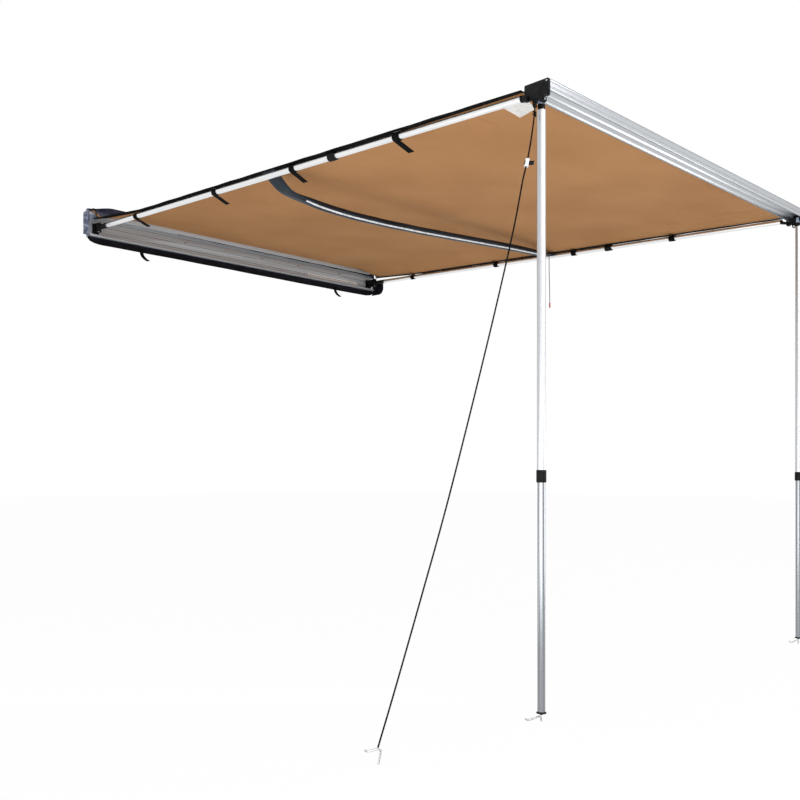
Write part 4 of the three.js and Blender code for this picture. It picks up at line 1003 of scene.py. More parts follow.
# %% Canvas heights
CANVAS_COLUMNS, CANVAS_ROWS = 90, 120
CROWD_TO_SIDES = 0.8
JUST_INSIDE, INSIDE_STEP = 0.9995, 0.1 * MM
rows_y = np.linspace(wall_y, front_y, CANVAS_ROWS + 1)
heights = np.zeros((CANVAS_ROWS + 1, CANVAS_COLUMNS + 1))
places_x = np.zeros_like(heights)
for i, y in enumerate(rows_y):
    half = half_width(y)
    for j in range(CANVAS_COLUMNS + 1):
        share = 2 * j / CANVAS_COLUMNS - 1
        share = math.copysign(abs(share) ** CROWD_TO_SIDES, share)
        places_x[i, j] = share * half
        found = canvas_drop(places_x[i, j] * JUST_INSIDE,
                            min(max(y, front_y + INSIDE_STEP), wall_y - INSIDE_STEP))
        heights[i, j] = found if found is not None else heights[i - 1, j]
print("canvas heights", round(heights.min(), 4), round(heights.max(), 4))

# %% Canvas cloth
EVEN_OUT = 14
RAIL_BEAD_IN = 8 * MM
BEAM_BEAD_IN, BEAM_BEAD_HEIGHT = 5 * MM, -133 * MM
for _ in range(EVEN_OUT):
    inside = heights[1:-1, 1:-1]
    around = (heights[2:, 1:-1] + heights[:-2, 1:-1] + heights[1:-1, 2:] + heights[1:-1, :-2]) / 4
    heights[1:-1, 1:-1] = 0.5 * inside + 0.5 * around
bead_y, bead_z = rail_low.y + RAIL_BEAD_IN, rail_high.z - RAIL_BEAD_IN
vertices = [(x, bead_y, bead_z) for x in places_x[0]]
for i, y in enumerate(rows_y):
    half = half_width(y)
    for j in range(CANVAS_COLUMNS + 1):
        fold = tension_folds(places_x[i, j], y, half)
        vertices.append((places_x[i, j], y, heights[i, j] + fold))
vertices += [(x, beam_high.y - BEAM_BEAD_IN, BEAM_BEAD_HEIGHT) for x in places_x[-1]]
columns = CANVAS_COLUMNS + 1
faces = []
for i in range(CANVAS_ROWS + 2):
    for j in range(CANVAS_COLUMNS):
        a = i * columns + j
        faces.append((a, a + columns, a + columns + 1, a + 1))
canvas = new_piece("canvas_roof", vertices, faces)
apply_modifier(canvas, "SOLIDIFY", thickness=CANVAS_THICKNESS, offset=0)
canvas.data.materials.append(tan_canvas)
smooth_all(canvas)
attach(canvas, "wall_side")
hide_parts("canvas")
print("canvas", len(canvas.data.polygons), "faces")

# %% [markdown]
# ## Hems, straps and patches
# A webbing binding is folded over each side edge and sewn. Straps with hook-and-loop tape go round
# the arm under each hem and leave a loose tail inboard. Every band is a ribbon along a route and
# every panel a grid, and both are made thick, so that cloth shows its thickness at its edges.

# %% Ribbon and panel helpers


def cloth_grid(name, place, across, up, thickness, material, body, stands_for=(), smooth=60):
    """A cloth panel: place(u, v) gives each point of the grid for u and v from 0 to 1."""
    vertices = [place(i / across, j / up) for i in range(across + 1) for j in range(up + 1)]
    faces = []
    for i in range(across):
        for j in range(up):
            a = i * (up + 1) + j
            faces.append((a, a + 1, a + up + 2, a + up + 1))
    piece = new_piece(name, vertices, faces)
    apply_modifier(piece, "SOLIDIFY", thickness=thickness, offset=0)
    face_outward(piece)
    return finish_piece(piece, material, body, stands_for, smooth)


def ribbon(name, route, across, width, thickness, material, body, stands_for=(), cuts=3, closed=False):
    """A flat band of a width along a route. across is the direction of its width at every point."""
    vertices = []
    for i, point in enumerate(route):
        side = Vector(across[i] if isinstance(across, list) else across).normalized()
        for k in range(cuts + 1):
            vertices.append(Vector(point) + side * width * (k / cuts - 0.5))
    faces = []
    rows = len(route)
    for i in range(rows if closed else rows - 1):
        for k in range(cuts):
            a, b = i * (cuts + 1) + k, ((i + 1) % rows) * (cuts + 1) + k
            faces.append((a, b, b + 1, a + 1))
    piece = new_piece(name, vertices, faces)
    apply_modifier(piece, "SOLIDIFY", thickness=thickness, offset=0, use_even_offset=True)
    face_outward(piece)
    round_edges(piece, thickness * 0.3, 1, 50)
    return finish_piece(piece, material, body, stands_for, smooth=55)


print("ribbon and panel helpers ready")

# %% Side hems
HEM_WIDTH, HEM_THICKNESS, HEM_RIPPLE = 19 * MM, 1.2 * MM, 0.8 * MM
HEM_SHORT = 8 * MM
HEM_ROWS = 90
HEM_UPPER = [(0.0, 0.35), (0.12, 0.75), (0.5, 0.9), (0.85, 1.1), (1.0, 0.45)]
HEM_SECTION = HEM_UPPER + [(out, -up) for out, up in reversed(HEM_UPPER)]
hems = []
for side, sign in SIDES:
    route_y = np.linspace(hem_y[0] + HEM_SHORT, hem_y[-1], HEM_ROWS)
    vertices, faces = [], []
    for y in route_y:
        middle = float(np.interp(y, hem_y, hem_height))
        outer = float(np.interp(y, hem_y, hem_outer))
        ripple = HEM_RIPPLE * math.sin(y * 31) * math.sin(y * 5.3 + sign)
        for out, up in HEM_SECTION:
            x = sign * (outer - HEM_WIDTH * (1 - out))
            vertices.append((x, y, middle + up * HEM_THICKNESS + ripple))
    count = len(HEM_SECTION)
    for n in range(HEM_ROWS - 1):
        for k in range(count):
            a, b = n * count + k, n * count + (k + 1) % count
            faces.append((a, b, b + count, a + count))
    faces += [tuple(range(count)), tuple(range(len(vertices) - 1, len(vertices) - 1 - count, -1))]
    hem = new_piece(side + "_hem_binding", vertices, faces)
    face_outward(hem)
    hems.append(finish_piece(hem, black_webbing, "wall_side", [side + "_side_hem"], smooth=60))
print("hems made")

# %% Arm straps
STRAP_WIDTH = 31 * MM
STRAP_THICKNESS, TAB_THICKNESS, TAIL_THICKNESS = 2.2 * MM, 1.6 * MM, 1.5 * MM
STRAP_PLAY, TAB_PLAY, TAB_UNDER_HEM, TAB_BOW = 0.3 * MM, 0.2 * MM, 2 * MM, 0.6 * MM
TAIL_OFF, TAIL_STEP, TAIL_WIDTH_SHARE, LONGEST_TAIL = 1.4 * MM, 4 * MM, 0.94, 58 * MM
RING_POINTS = 32
TAILS = {"near": [(0, -1.0), (20, -1.62), (40, -2.3), (58, -2.85)],
         "far": [(9, 0.62), (18, 0.6), (28, 0.45), (40, 0.2)]}
TAIL_SWAY = {"near": 14 * MM, "far": 3 * MM}
straps = []
strap_up = Vector((1, 0, 0)).cross(-OUTWARD)
for side, sign in SIDES:
    inboard = Vector((-sign, 0, 0))
    for i in range(1, 5):
        node = f"{side}_arm_strap_{i}"
        _, _, middle = box_of(node)
        along = (middle - arm_start[side]).dot(OUTWARD)
        centre = arm_start[side] + OUTWARD * along
        radius = ARM_RADIUS + STRAP_PLAY + STRAP_THICKNESS / 2
        loop = []
        for k in range(RING_POINTS):
            angle = TWO_PI * k / RING_POINTS
            loop.append(centre + inboard * radius * math.cos(angle) + strap_up * radius * math.sin(angle))
        strap = ribbon(f"{side}_strap_loop_{i}", loop, OUTWARD, STRAP_WIDTH, STRAP_THICKNESS, black_webbing,
                       "wall_side", [node], closed=True)
        under_hem = float(np.interp(middle.y, hem_y, hem_height)) - TAB_UNDER_HEM
        foot = centre + strap_up * (radius + STRAP_THICKNESS / 2 + TAB_PLAY)
        top = centre + strap_up * (under_hem - centre.z) / strap_up.z
        tab_route = [foot.lerp(top, share) + inboard * TAB_BOW * math.sin(share * math.pi)
                     for share in (0, 0.25, 0.5, 0.75, 1)]
        tab = ribbon(f"{side}_strap_tab_{i}", tab_route, OUTWARD, STRAP_WIDTH, TAB_THICKNESS, tan_canvas,
                     "wall_side")
        tail_points = []
        for reach_mm, level in TAILS[side]:
            reach = reach_mm * MM
            sway = OUTWARD * TAIL_SWAY[side] * (1 + 0.4 * math.sin(i * 1.7)) * reach / LONGEST_TAIL
            tail_points.append(centre + inboard * reach + strap_up * (radius + TAIL_OFF) * level + sway)
        tail = ribbon(f"{side}_strap_tail_{i}", smooth_route(tail_points, TAIL_STEP), OUTWARD,
                      STRAP_WIDTH * TAIL_WIDTH_SHARE, TAIL_THICKNESS, black_webbing, "wall_side")
        straps += [strap, tab, tail]
print("straps", len(straps))

# %% [markdown]
# ## Corner patches
# The near front corner carries a blank white patch, sewn flat under the cloth, and both front
# corners have a second layer of canvas. They are small panels whose points are pressed up against
# the canvas. A narrow dark band shows the canvas's edge where it enters the beam.

# %% Patches under the canvas
PATCH_STEPS, PATCH_GAP = 14, 0.1 * MM
WHITE_PATCH_THICKNESS, CORNER_PATCH_THICKNESS = 0.8 * MM, 0.6 * MM
WHITE_CORNERS = [(-0.957, -2.833), (-0.859, -2.803), (-0.819, -2.706), (-0.942, -2.727)]
PATCH_INNER = {"near": [(-0.80, -2.60), (-0.78, -2.44)], "far": [(0.80, -2.60), (0.80, -2.875)]}
BEAD_EDGE_HALF, BEAD_EDGE_HEIGHT = 0.99, -135.4 * MM
BEAD_EDGE_WIDTH, BEAD_EDGE_THICKNESS = 3.2 * MM, 1 * MM
made_canvas = tree_of(canvas)


def patch(name, corners, material, thickness):
    a, b, c, d = [Vector(p).to_3d() for p in corners]

    def place(u, v):
        flat = a.lerp(b, u).lerp(d.lerp(c, u), v)
        hit = made_canvas.ray_cast(Vector((flat.x, flat.y, -1.0)), -DOWN)[0]
        height = hit.z if hit else canvas_drop(flat.x, flat.y) - CANVAS_THICKNESS
        return (flat.x, flat.y, height - thickness / 2 - PATCH_GAP)

    return cloth_grid(name, place, PATCH_STEPS, PATCH_STEPS, thickness, material, "wall_side", smooth=50)


edge_x = half_width(front_y + 0.1) - 5 * MM
corner_patches = [patch("white_sewn_patch", WHITE_CORNERS, white_patch_cloth, WHITE_PATCH_THICKNESS)]
for side, sign in SIDES:
    first, last = PATCH_INNER[side]
    corners = [(sign * edge_x, first[1]), first, last, (sign * edge_x, last[1])]
    corner_patches.append(patch(side + "_corner_patch", corners, tan_canvas, CORNER_PATCH_THICKNESS))
bead_line = [(x, front_y + 2 * MM, BEAD_EDGE_HEIGHT)
             for x in np.linspace(-BEAD_EDGE_HALF, BEAD_EDGE_HALF, 60)]
bead_edge = ribbon("canvas_front_bead_edge", bead_line, (0, 1, 0), BEAD_EDGE_WIDTH, BEAD_EDGE_THICKNESS,
                   black_webbing, "wall_side")
print("patches", len(corner_patches))

# %% [markdown]
# ## Light sleeve
# The sleeve is a cloth tube that holds a strip light. It lies flat over the arms and is round and
# slack between them. Its rings follow the frame's own sleeve, and the cloth gets a real wall, so
# its ends are open. The strip shows as a bright line along the lower front side.

# %% Sleeve rings
SLEEVE_ROWS, SLEEVE_SIDES = 150, 32
SLEEVE_WALL, SLEEVE_CREASE = 0.8 * MM, 0.7 * MM
SLEEVE_EVEN_OUT = 8
TAUT_END, TAUT_OVER = 0.97, 0.1


def ring_shapes(node):
    """Centre, half width, half height and slope of every ring of points along X."""
    points = np.array([v.co for v in frame["nodes"][node].data.vertices])
    shapes = []
    for x in sorted(set(np.round(points[:, 0], 4))):
        ring = points[np.abs(points[:, 0] - x) < 2e-4]
        y, z = (ring[:, k].min() / 2 + ring[:, k].max() / 2 for k in (1, 2))
        outmost, inmost = ring[ring[:, 1].argmin()], ring[ring[:, 1].argmax()]
        slope = (inmost[2] - outmost[2]) / (inmost[1] - outmost[1])
        level = ring[:, 2] - z - slope * (ring[:, 1] - y)
        shapes.append((x, y, z, np.ptp(ring[:, 1]) / 2, np.ptp(level) / 2, slope))
    return np.array(shapes)


rings = ring_shapes("light_sleeve")
sleeve_low, sleeve_high, _ = box_of("light_sleeve")
ring_x = np.linspace(sleeve_low.x, sleeve_high.x, SLEEVE_ROWS + 1)
ring_y, ring_z, ring_half, ring_rise, ring_slope = [np.interp(ring_x, rings[:, 0], rings[:, k])
                                                    for k in range(1, 6)]
for line in (ring_z, ring_half, ring_rise):
    for _ in range(SLEEVE_EVEN_OUT):
        line[1:-1] = line[1:-1] / 2 + (line[2:] + line[:-2]) / 4
print("sleeve rings", len(rings))

# %% Sleeve


def on_sleeve(i, angle, out=0.0):
    """A point on ring i, out metres off the cloth."""
    across = (ring_half[i] + out) * math.cos(angle)
    level = (ring_rise[i] + out) * math.sin(angle)
    return Vector((ring_x[i], ring_y[i] + across, ring_z[i] + ring_slope[i] * across + level))


vertices, faces = [], []
for i in range(SLEEVE_ROWS + 1):
    slack = clamped((TAUT_END - abs(ring_x[i])) / TAUT_OVER)
    for k in range(SLEEVE_SIDES):
        angle = TWO_PI * k / SLEEVE_SIDES
        crease = SLEEVE_CREASE * slack * math.sin(ring_x[i] * 29 + 2 * angle) * math.sin(3 * angle)
        vertices.append(on_sleeve(i, angle, crease))
for i in range(SLEEVE_ROWS):
    for k in range(SLEEVE_SIDES):
        a, b = i * SLEEVE_SIDES + k, i * SLEEVE_SIDES + (k + 1) % SLEEVE_SIDES
        faces.append((a, b, b + SLEEVE_SIDES, a + SLEEVE_SIDES))
sleeve = new_piece("light_sleeve_cloth", vertices, faces)
face_outward(sleeve)
apply_modifier(sleeve, "SOLIDIFY", thickness=SLEEVE_WALL, offset=-1)
finish_piece(sleeve, sleeve_cloth, "wall_side", ["light_sleeve"], smooth=70)
print("sleeve", round(sleeve_high.x - sleeve_low.x, 3))

# %% Light strip
STRIP_SIDE = math.radians(-142)
STRIP_FROM, STRIP_TO = -0.83, 0.90
STRIP_OFF, STRIP_WIDTH, STRIP_THICKNESS = 1.4 * MM, 8 * MM, 1.2 * MM
strip_rows = [i for i in range(SLEEVE_ROWS + 1) if STRIP_FROM < ring_x[i] < STRIP_TO]
strip_route = [on_sleeve(i, STRIP_SIDE, STRIP_OFF) for i in strip_rows]
strip_across = [on_sleeve(i, STRIP_SIDE + 0.2) - on_sleeve(i, STRIP_SIDE - 0.2) for i in strip_rows]
light_strip = ribbon("light_strip_diffuser", strip_route, strip_across, STRIP_WIDTH, STRIP_THICKNESS,
                     silver_diffuser, "wall_side")
print("light strip over", len(strip_rows), "rings")

# %% Cable cap
cap_low, cap_high, cap_middle = box_of("light_cable_cap")
cap_length = cap_high.z - cap_low.z
CAP_SIDES, CAP_RADIUS, CAP_TOP = 32, 4 * MM, 2.4 * MM
CAP_SHOULDER = ((3, 1), (3.4, 4))
outline = [(0, 0), (CAP_TOP, 0), *((radius * MM, down * MM) for radius, down in CAP_SHOULDER),
           (CAP_RADIUS, 5 * MM), (CAP_RADIUS, cap_length - 2 * MM),
           (CAP_RADIUS - 1 * MM, cap_length - 0.4 * MM), (0, cap_length)]
cap_place = pointing((cap_middle.x, cap_middle.y, cap_high.z), DOWN)
cable_cap = spun("light_cable_red_cap", outline, cap_place, CAP_SIDES, closed=False)
finish_piece(cable_cap, red_cap_plastic, "wall_side", ["light_cable_cap"], smooth=50)
print("cap", round(cap_length, 3))

# %% [markdown]
# ## Cover
# The travel cover stays on the plate when the awning is open. Its top flap stands up behind the
# canvas, the lower one hangs down with a piped edge, the far end wall stands out beside the hinge
# and the near one is crumpled and shows its lining. Each is a panel bent by a few sine folds.

# %% Cover flaps
COVER_THICKNESS = 2 * MM
FLAP_COLUMNS, FLAP_ROWS = 160, 6
FLAP_OFF, FLAP_LEAN = 2 * MM, 9 * MM
TOP_FLAP_LOW, TOP_FLAP_RISE, RISE_OVER = 8 * MM, 25 * MM, 0.15
LOWER_FLAP_END, LOWER_FLAP_MORE, LOWER_END_OVER = 8 * MM, 29 * MM, 90 * MM
top_low, top_high, _ = box_of("cover_top_flap")
lower_low, lower_high, _ = box_of("cover_lower_flap")


def eased(share):
    """A share from 0 to 1 that starts and ends softly."""
    share = clamped(share)
    return share * share * (3 - 2 * share)


def top_flap_place(u, v):
    x = top_low.x + (top_high.x - top_low.x) * u
    rise = eased((x - top_low.x) / RISE_OVER)
    height = TOP_FLAP_LOW + TOP_FLAP_RISE * rise + 1.2 * MM * math.sin(x * 6)
    fold = 1.6 * MM * math.sin(x * 23 + 2 * v) * v * (1.2 - rise * 0.6)
    return (x, -FLAP_OFF - FLAP_LEAN * v * v + fold, top_low.z + height * v)


def lower_flap_depth(x):
    """How far the flap hangs: its two lower corners are rounded."""
    share = clamped(min(x - lower_low.x, lower_high.x - x) / LOWER_END_OVER)
    rounded = math.sqrt(1 - (1 - share) ** 2)
    return LOWER_FLAP_END + LOWER_FLAP_MORE * rounded + 1.5 * MM * math.sin(x * 3.1)


def lower_flap_place(u, v):
    x = lower_low.x + (lower_high.x - lower_low.x) * u
    fold = 1.4 * MM * math.sin(x * 17 + v) * v
    return (x, -FLAP_OFF - FLAP_LEAN * v + fold, plate_low.z - EDGE_PLAY - lower_flap_depth(x) * v)


top_flap = cloth_grid("cover_flap_upper", top_flap_place, FLAP_COLUMNS, FLAP_ROWS, COVER_THICKNESS,
                      cover_inside, "wall_side", ["cover_top_flap"])
lower_flap = cloth_grid("cover_flap_lower", lower_flap_place, FLAP_COLUMNS, FLAP_ROWS, COVER_THICKNESS,
                        cover_cloth, "wall_side", ["cover_lower_flap"])
print("cover flaps made")

# %% Piping on the flaps
PIPING_SIDES, LOWER_PIPING, UPPER_PIPING, END_PIPING = 10, 3 * MM, 1.8 * MM, 2.6 * MM


def piping(name, route, radius, material):
    piece = laid_tube(name, route, radius, PIPING_SIDES)
    return finish_piece(piece, material, "wall_side", smooth=60)


def free_edge(place):
    return [Vector(place(i / FLAP_COLUMNS, 1.0)) for i in range(FLAP_COLUMNS + 1)]


piping("cover_piping_lower", free_edge(lower_flap_place), LOWER_PIPING, black_webbing)
piping("cover_piping_upper", free_edge(top_flap_place), UPPER_PIPING, cover_cloth)
print("piping sewn on")

# %% Cover ends
END_CORNER = 40 * MM
FOLD_WIDTH, FOLD_DEPTH = 33 * MM, 34 * MM
FOLD = [(0.0, 0.0), (0.1, 0.3), (0.02, 0.62), (0.12, 0.93), (0.5, 1.0), (1.0, 0.97)]
FOLD_SET = 1 * MM
far_low, far_high, _ = box_of("cover_far_end")
near_low, near_high, _ = box_of("cover_near_end")


def far_end_depth(v):
    """How far out the far wall reaches at a height share, rounded at its lower corner."""
    low = v * (far_high.z - far_low.z)
    if low >= END_CORNER:
        return -far_low.y
    return -far_low.y - END_CORNER + math.sqrt(END_CORNER ** 2 - (END_CORNER - low) ** 2)


def far_end_place(u, v):
    out = -u * far_end_depth(v) * (1 - 0.35 * max(0.0, v - 0.75) * 4)
    sway = 1.6 * MM * math.sin(out * 60 + v * 4)
    return ((far_low.x + far_high.x) / 2 + sway, out, far_low.z + (far_high.z - far_low.z) * v)


fold_route = smooth_route([(near_high.x - FOLD_SET - FOLD_WIDTH * across, -FOLD_SET - FOLD_DEPTH * out, 0)
                           for across, out in FOLD], 2 * MM)


def near_end_place(u, v):
    point = fold_route[round(u * (len(fold_route) - 1))]
    crumple = (1.3 * math.sin(v * 9 + u * 5) + 0.7 * math.sin(v * 23 + u * 9)) * MM
    top = near_high.z - 2 * MM - 30 * MM * u * u
    bottom = near_low.z + 6 * MM * u
    return (point.x + crumple * 0.5 - FOLD_SET, point.y + crumple * 0.5 - FOLD_SET,
            bottom + (top - bottom) * v)


far_end = cloth_grid("cover_end_far", far_end_place, 20, 20, COVER_THICKNESS, cover_cloth, "wall_side",
                     ["cover_far_end"])
near_end = cloth_grid("cover_end_near", near_end_place, 16, 40, COVER_THICKNESS, cover_lining, "wall_side",
                      ["cover_near_end"])
far_rim = [Vector(far_end_place(u, 0.0)) for u in np.linspace(0.0, 1.0, 12)]
far_rim += [Vector(far_end_place(1.0, v)) for v in np.linspace(0.02, 1.0, 26)]
piping("cover_piping_far_end", far_rim, END_PIPING, black_webbing)
print("cover ends made")

# %% Cover straps
COVER_STRAP_WIDTH, COVER_STRAP_THICKNESS = 22 * MM, 1.6 * MM
COVER_STRAP_STEP, COVER_STRAP_OFF, ON_FLAP = 5 * MM, 2.5 * MM, 0.55
COVER_STRAP_HANG = ((0, 0, 0), (0, -2, -18), (4, -4, -34), (16, -9, -50), (36, -14, -62))
for i, share in enumerate((-0.7, 0.67)):
    x = share * plate_high.x
    on_flap = lower_flap_place((x - lower_low.x) / (lower_high.x - lower_low.x), ON_FLAP)
    start = Vector(on_flap) + Vector((0, -COVER_STRAP_OFF, 0))
    points = [start + Vector(offset) * MM for offset in COVER_STRAP_HANG]
    ribbon(f"cover_strap_{i + 1}", smooth_route(points, COVER_STRAP_STEP), (1, 0, 0.25),
                               COVER_STRAP_WIDTH, COVER_STRAP_THICKNESS, black_webbing, "wall_side")

# %% [markdown]
# ## Folds and tapes round the canvas's edges
# Dark tapes are sewn under the canvas along its hems, and the cover's two ends are tucked round the
# corners of plate and rail. At the near end the cover's inside is turned over the canvas, and one
# more black tape shows under the rail, which also paints the shadow of the gap there. All are thin
# panels laid along what carries them.

# %% Edge tapes and corner tucks
TAPE_PAST_HEM, EDGE_TAPE_THICKNESS, EDGE_TAPE_OVERLAP = 20 * MM, 1 * MM, 2.5 * MM
FOLD_THICKNESS = 1.6 * MM
TUCK_END, TUCK_OFF = 1.0395, 2.6 * MM


def edge_tape_place(u, v, sign):
    """A binding tape sewn under the canvas beside each hem, wider towards the wall."""
    y = float(hem_y[-1]) + (float(hem_y[0]) - float(hem_y[-1]) - TAPE_PAST_HEM) * (1 - u)
    width = (4 + 15 * eased(u / 0.35)) * MM
    inner = float(np.interp(y, hem_y, hem_inner))
    x = inner + EDGE_TAPE_OVERLAP - width * v
    hit = made_canvas.ray_cast(Vector((sign * min(x, inner - 1 * MM), y, -1.0)), -DOWN)[0]
    return (sign * x, y, hit.z - EDGE_TAPE_THICKNESS)


def corner_tuck_place(u, v, sign):
    """The cover's end tucked round the corner of plate and rail, below the canvas."""
    x = sign * (TUCK_END - (44 - 14 * v) * MM * u)
    fold = 1.2 * MM * math.sin(u * 7 + v * 5)
    return (x, rail_low.y - TUCK_OFF + fold, (46 - 5 * u - 38 * v * (1 - 0.3 * u)) * MM)


edge_tapes, corner_tucks = [], []
for side, sign in SIDES:
    edge_tapes.append(cloth_grid(side + "_edge_tape", partial(edge_tape_place, sign=sign), 120, 3,
                                 EDGE_TAPE_THICKNESS, black_webbing, "wall_side"))
for (side, sign), finish in zip(SIDES, (cover_lining, cover_cloth)):
    corner_tucks.append(cloth_grid(side + "_corner_tuck", partial(corner_tuck_place, sign=sign), 12, 12,
                                   FOLD_THICKNESS, finish, "wall_side"))
print("edge tapes and tucks", len(edge_tapes) + len(corner_tucks))

# %% Corner fold and rail tape, which paints the shadow gap
CORNER_START, CORNER_END = -1.04, -0.84
RAIL_SHADOW_TAPE_THICKNESS = 1.2 * MM
RAIL_SHADOW_TAPE_START, RAIL_SHADOW_TAPE_END = -0.5, 1.03


def corner_fold_place(u, v):
    """The cover's inside turned over the canvas's near corner by the wall."""
    x = CORNER_START + (CORNER_END - CORNER_START) * u
    reach = (46 - 34 * u * u) * MM
    y = wall_y - 1 * MM - reach * v
    lift = 3.2 * MM + 0.9 * MM * math.sin(u * 9 + v * 4)
    inside = max(x, -wall_half + 2 * MM)
    hit = made_canvas.ray_cast(Vector((inside, min(y, wall_y - 1 * MM), 1.0)), DOWN)[0]
    return (x, y, (hit.z if hit else rail_high.z) + lift)


def rail_shadow_tape_place(u, v):
    """The tape sewn to the cover shows under the rail, hardly at first, then wider to the far end; its black
    also paints the shadow of the gap under the rail.
    """
    x = RAIL_SHADOW_TAPE_START + (RAIL_SHADOW_TAPE_END - RAIL_SHADOW_TAPE_START) * u
    depth = (1 + 5 * u + 0.9 * math.sin(x * 21) + 0.6 * math.sin(x * 47)) * MM
    return (x, rail_low.y + 2 * MM + 1.5 * MM * v, rail_low.z - 0.8 * MM - depth * v)


corner_fold = cloth_grid("cover_corner_fold", corner_fold_place, 24, 10, FOLD_THICKNESS, cover_inside,
                         "wall_side")
# Black tape under the rail, also painted shadow of the gap there.
cloth_grid("cover_rail_tape_painted_shadow", rail_shadow_tape_place, 150, 2, RAIL_SHADOW_TAPE_THICKNESS, black_webbing, "wall_side")
print("corner fold and rail tape made")

# %% [markdown]
# ## Rope fittings
# The rope is tied through the bracket's eye and adjusted by a white runner with a black lever. The
# loop is a short bight of the same rope, and the knot below it is two turns laid on each other.

# %% Runner and lever
RUNNER_ROUND = 1.2 * MM
_, _, slider_middle = box_of("guy_slider")
runner = dress("guy_slider", "guy_runner_white", clear_white_nylon, RUNNER_ROUND, 3)
rope_down = (Vector(ROPE_POINTS[4]) - Vector(ROPE_POINTS[2])).normalized()
lever_way = Vector((math.cos(VIEW_TURN), math.sin(VIEW_TURN), 0))
LEVER_REACH = (-8 * MM, 22 * MM)
LEVER_HEIGHT, LEVER_THICKNESS = 14 * MM, 4 * MM
lever_length = LEVER_REACH[1] - LEVER_REACH[0]
lever_route = [slider_middle + lever_way * (LEVER_REACH[0] + lever_length * k / 6) for k in range(7)]
lever = ribbon("guy_runner_lever", lever_route, rope_down, LEVER_HEIGHT, LEVER_THICKNESS, black_nylon,
               "front")
RING_SIDES, RING_APART = 32, 11 * MM
RING_FORM = ((2.6, -1.6), (6.4, -1.6), (7, -1), (7, 1), (6.4, 1.6), (2.6, 1.6))
ring_outline = [(radius * MM, height * MM) for radius, height in RING_FORM]
for i, shift in enumerate((-RING_APART, RING_APART)):
    ring_place = pointing(slider_middle + rope_down * shift, rope_down)
    ring = spun(f"guy_runner_ring_{i + 1}", ring_outline, ring_place, RING_SIDES)
    finish_piece(ring, clear_white_nylon, "front", smooth=50)
print("runner and lever made")

# %% Bight and knot
TIED_SIDES, TIED_STRAND_DEPTH = 12, 0.25
BIGHT_RADIUS, KNOT_RADIUS = 2.3 * MM, 2.4 * MM
BIGHT_STEPS, BIGHT_HALF, BIGHT_DEPTH, BIGHT_RISE = 60, 7.5 * MM, 2 * MM, 8.5 * MM
BIGHT_HEIGHT, BIGHT_BELOW = -181.5 * MM, 6 * MM
KNOT_STEPS, KNOT_TURNS, KNOT_COIL, KNOT_HEIGHT = 48, 2, 4.6 * MM, 16 * MM


def tied_rope(name, route, radius):
    piece = laid_tube(name, route, radius, TIED_SIDES, ROPE_STRANDS, ROPE_LAY, TIED_STRAND_DEPTH)
    return finish_piece(piece, rope_fibre, "front", smooth=70)


eye = Vector((ROPE_POINTS[0][0], ROPE_POINTS[0][1], BIGHT_HEIGHT))
loop_route = []
for k in range(BIGHT_STEPS + 1):
    angle = TWO_PI * k / BIGHT_STEPS
    loop_route.append(eye + Vector((BIGHT_HALF * math.sin(angle), BIGHT_DEPTH * math.sin(2 * angle),
                                    BIGHT_RISE * math.cos(angle) - BIGHT_BELOW)))
bight = tied_rope("guy_rope_bight", loop_route, BIGHT_RADIUS)
knot_route = []
for k in range(KNOT_STEPS + 1):
    angle = TWO_PI * KNOT_TURNS * k / KNOT_STEPS
    drop = KNOT_HEIGHT * (0.5 - k / KNOT_STEPS)
    knot_route.append(Vector(ROPE_POINTS[1])
                      + Vector((KNOT_COIL * math.cos(angle), KNOT_COIL * math.sin(angle), drop)))
knot = tied_rope("guy_rope_knot", knot_route, KNOT_RADIUS)
print("bight and knot made")

# %% [markdown]
# ## Blank label
# A long strip is stuck on the plate's web near its far end. It is left bare.

# %% Label strip
LABEL_START, LABEL_END, LABEL_BOTTOM, LABEL_TOP = 0.468, 0.897, -46 * MM, -30 * MM
LABEL_BACK, LABEL_FRONT, LABEL_CORNER = 0.1 * MM, 0.5 * MM, 2 * MM


def through_label(a, b):
    return abs(a.y - b.y) > 0.5 * (LABEL_FRONT - LABEL_BACK)


label = block("plate_label_strip", (LABEL_START, WEB_FACE - LABEL_FRONT, LABEL_BOTTOM),
              (LABEL_END, WEB_FACE - LABEL_BACK, LABEL_TOP))
bevel_edges(label, through_label, LABEL_CORNER, 4)
finish_piece(label, white_patch_cloth, "wall_side")
print("label made")

# %% [markdown]
# ## Soft pieces' own meshes
# The rope's and the cable's lengths and points are worked out once more, and are not kept. Each
# cloth and cord piece gets a mesh of its own.

# %% Route lengths and own meshes
route_length(rope_route)
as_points(rope_route)
route_length(cable_route)
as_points(cable_route)
for piece in [canvas, bead_edge, corner_fold, *edge_tapes, *hems, *corner_patches, *straps, sleeve,
              light_strip, light_cable, cable_cap]:
    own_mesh(piece)

# %% [markdown]
# ## Studio
# A white floor runs to the horizon under a white sky, and big soft lamps light the awning evenly:
# a key from the front, and low ones that reach the canvas and the plate from below. Camera and
# glossy rays see plain white, so the background is white however bright the lamps are.

# %% Floor and sky
GROUND = -2116.5 * MM
FLOOR_SIZE, FLOOR_SEEN = 60, 0.965
SKY_FILL = 0.55


def seen_rays(tree):
    """A light path node, and a value that is 1 for camera and glossy rays."""
    path = add_node(tree, "ShaderNodeLightPath")
    seen = add_node(tree, "ShaderNodeMath", {
        0: path.outputs["Is Camera Ray"], 1: path.outputs["Is Glossy Ray"]}, operation="MAXIMUM")
    return path, seen.outputs[0]


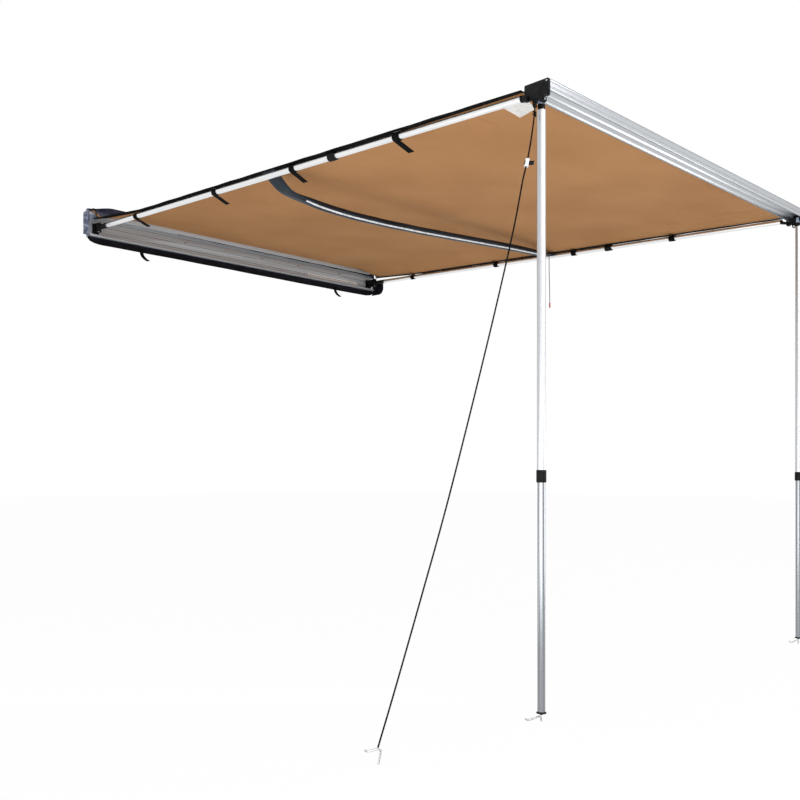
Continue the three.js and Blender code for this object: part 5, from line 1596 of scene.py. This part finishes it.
bpy.ops.object.select_all(action="DESELECT")
bpy.ops.mesh.primitive_plane_add(size=FLOOR_SIZE, location=(0, 0, GROUND))
floor = bpy.context.object
floor.name = "studio_floor"
floor_paint, tree, shader = new_material("white_studio_floor", 0.9)
shader.inputs["Base Color"].default_value = linear("f4f4f4")
glow = add_node(tree, "ShaderNodeEmission", {"Color": (1, 1, 1, 1), "Strength": 1.0})
_, seen = seen_rays(tree)
seen = add_node(tree, "ShaderNodeMath", {0: seen, 1: FLOOR_SEEN}, operation="MULTIPLY")
mixed = add_node(tree, "ShaderNodeMixShader", {
    0: seen.outputs[0], 1: shader.outputs[0], 2: glow.outputs[0]})
tree.links.new(mixed.outputs[0], tree.nodes["Material Output"].inputs["Surface"])
floor.data.materials.append(floor_paint)

world = bpy.data.worlds.new("studio_sky")
bpy.context.scene.world = world
world.use_nodes = True
sky = world.node_tree
background = sky.nodes["Background"]
path, seen = seen_rays(sky)
seen = add_node(sky, "ShaderNodeMath", {0: seen, 1: path.outputs["Is Transmission Ray"]},
                operation="MAXIMUM")
level = add_node(sky, "ShaderNodeMapRange", {"Value": seen.outputs[0], "To Min": SKY_FILL, "To Max": 1.0})
background.inputs["Color"].default_value = (1, 1, 1, 1)
sky.links.new(level.outputs["Result"], background.inputs["Strength"])
print("floor at", GROUND)

# %% Lamps


def soft_lamp(name, place, target, size, power):
    data = bpy.data.lights.new(name, "AREA")
    data.shape = "RECTANGLE"
    data.size, data.size_y = size
    data.energy = power
    lamp = bpy.data.objects.new(name, data)
    lamp.location = place
    lamp.rotation_euler = (Vector(target) - Vector(place)).to_track_quat("-Z", "Y").to_euler()
    bpy.context.collection.objects.link(lamp)


soft_lamp("key_softbox", (-1.0, -6.5, 1.2), (0, -1.4, -0.3), (4.0, 3.0), 160)
soft_lamp("low_softbox", (-3.2, -4.2, -1.9), (0.1, -1.2, 0.0), (3.6, 1.6), 66)
soft_lamp("wall_softbox", (-2.2, -1.6, -1.9), (-0.6, -0.1, 0.0), (3.0, 1.6), 24)
soft_lamp("side_softbox", (2.4, -5.2, -1.8), (0.3, -1.6, -0.1), (3.0, 1.8), 52)
bpy.context.scene.view_settings.view_transform = "Standard"
print("lamps hung")
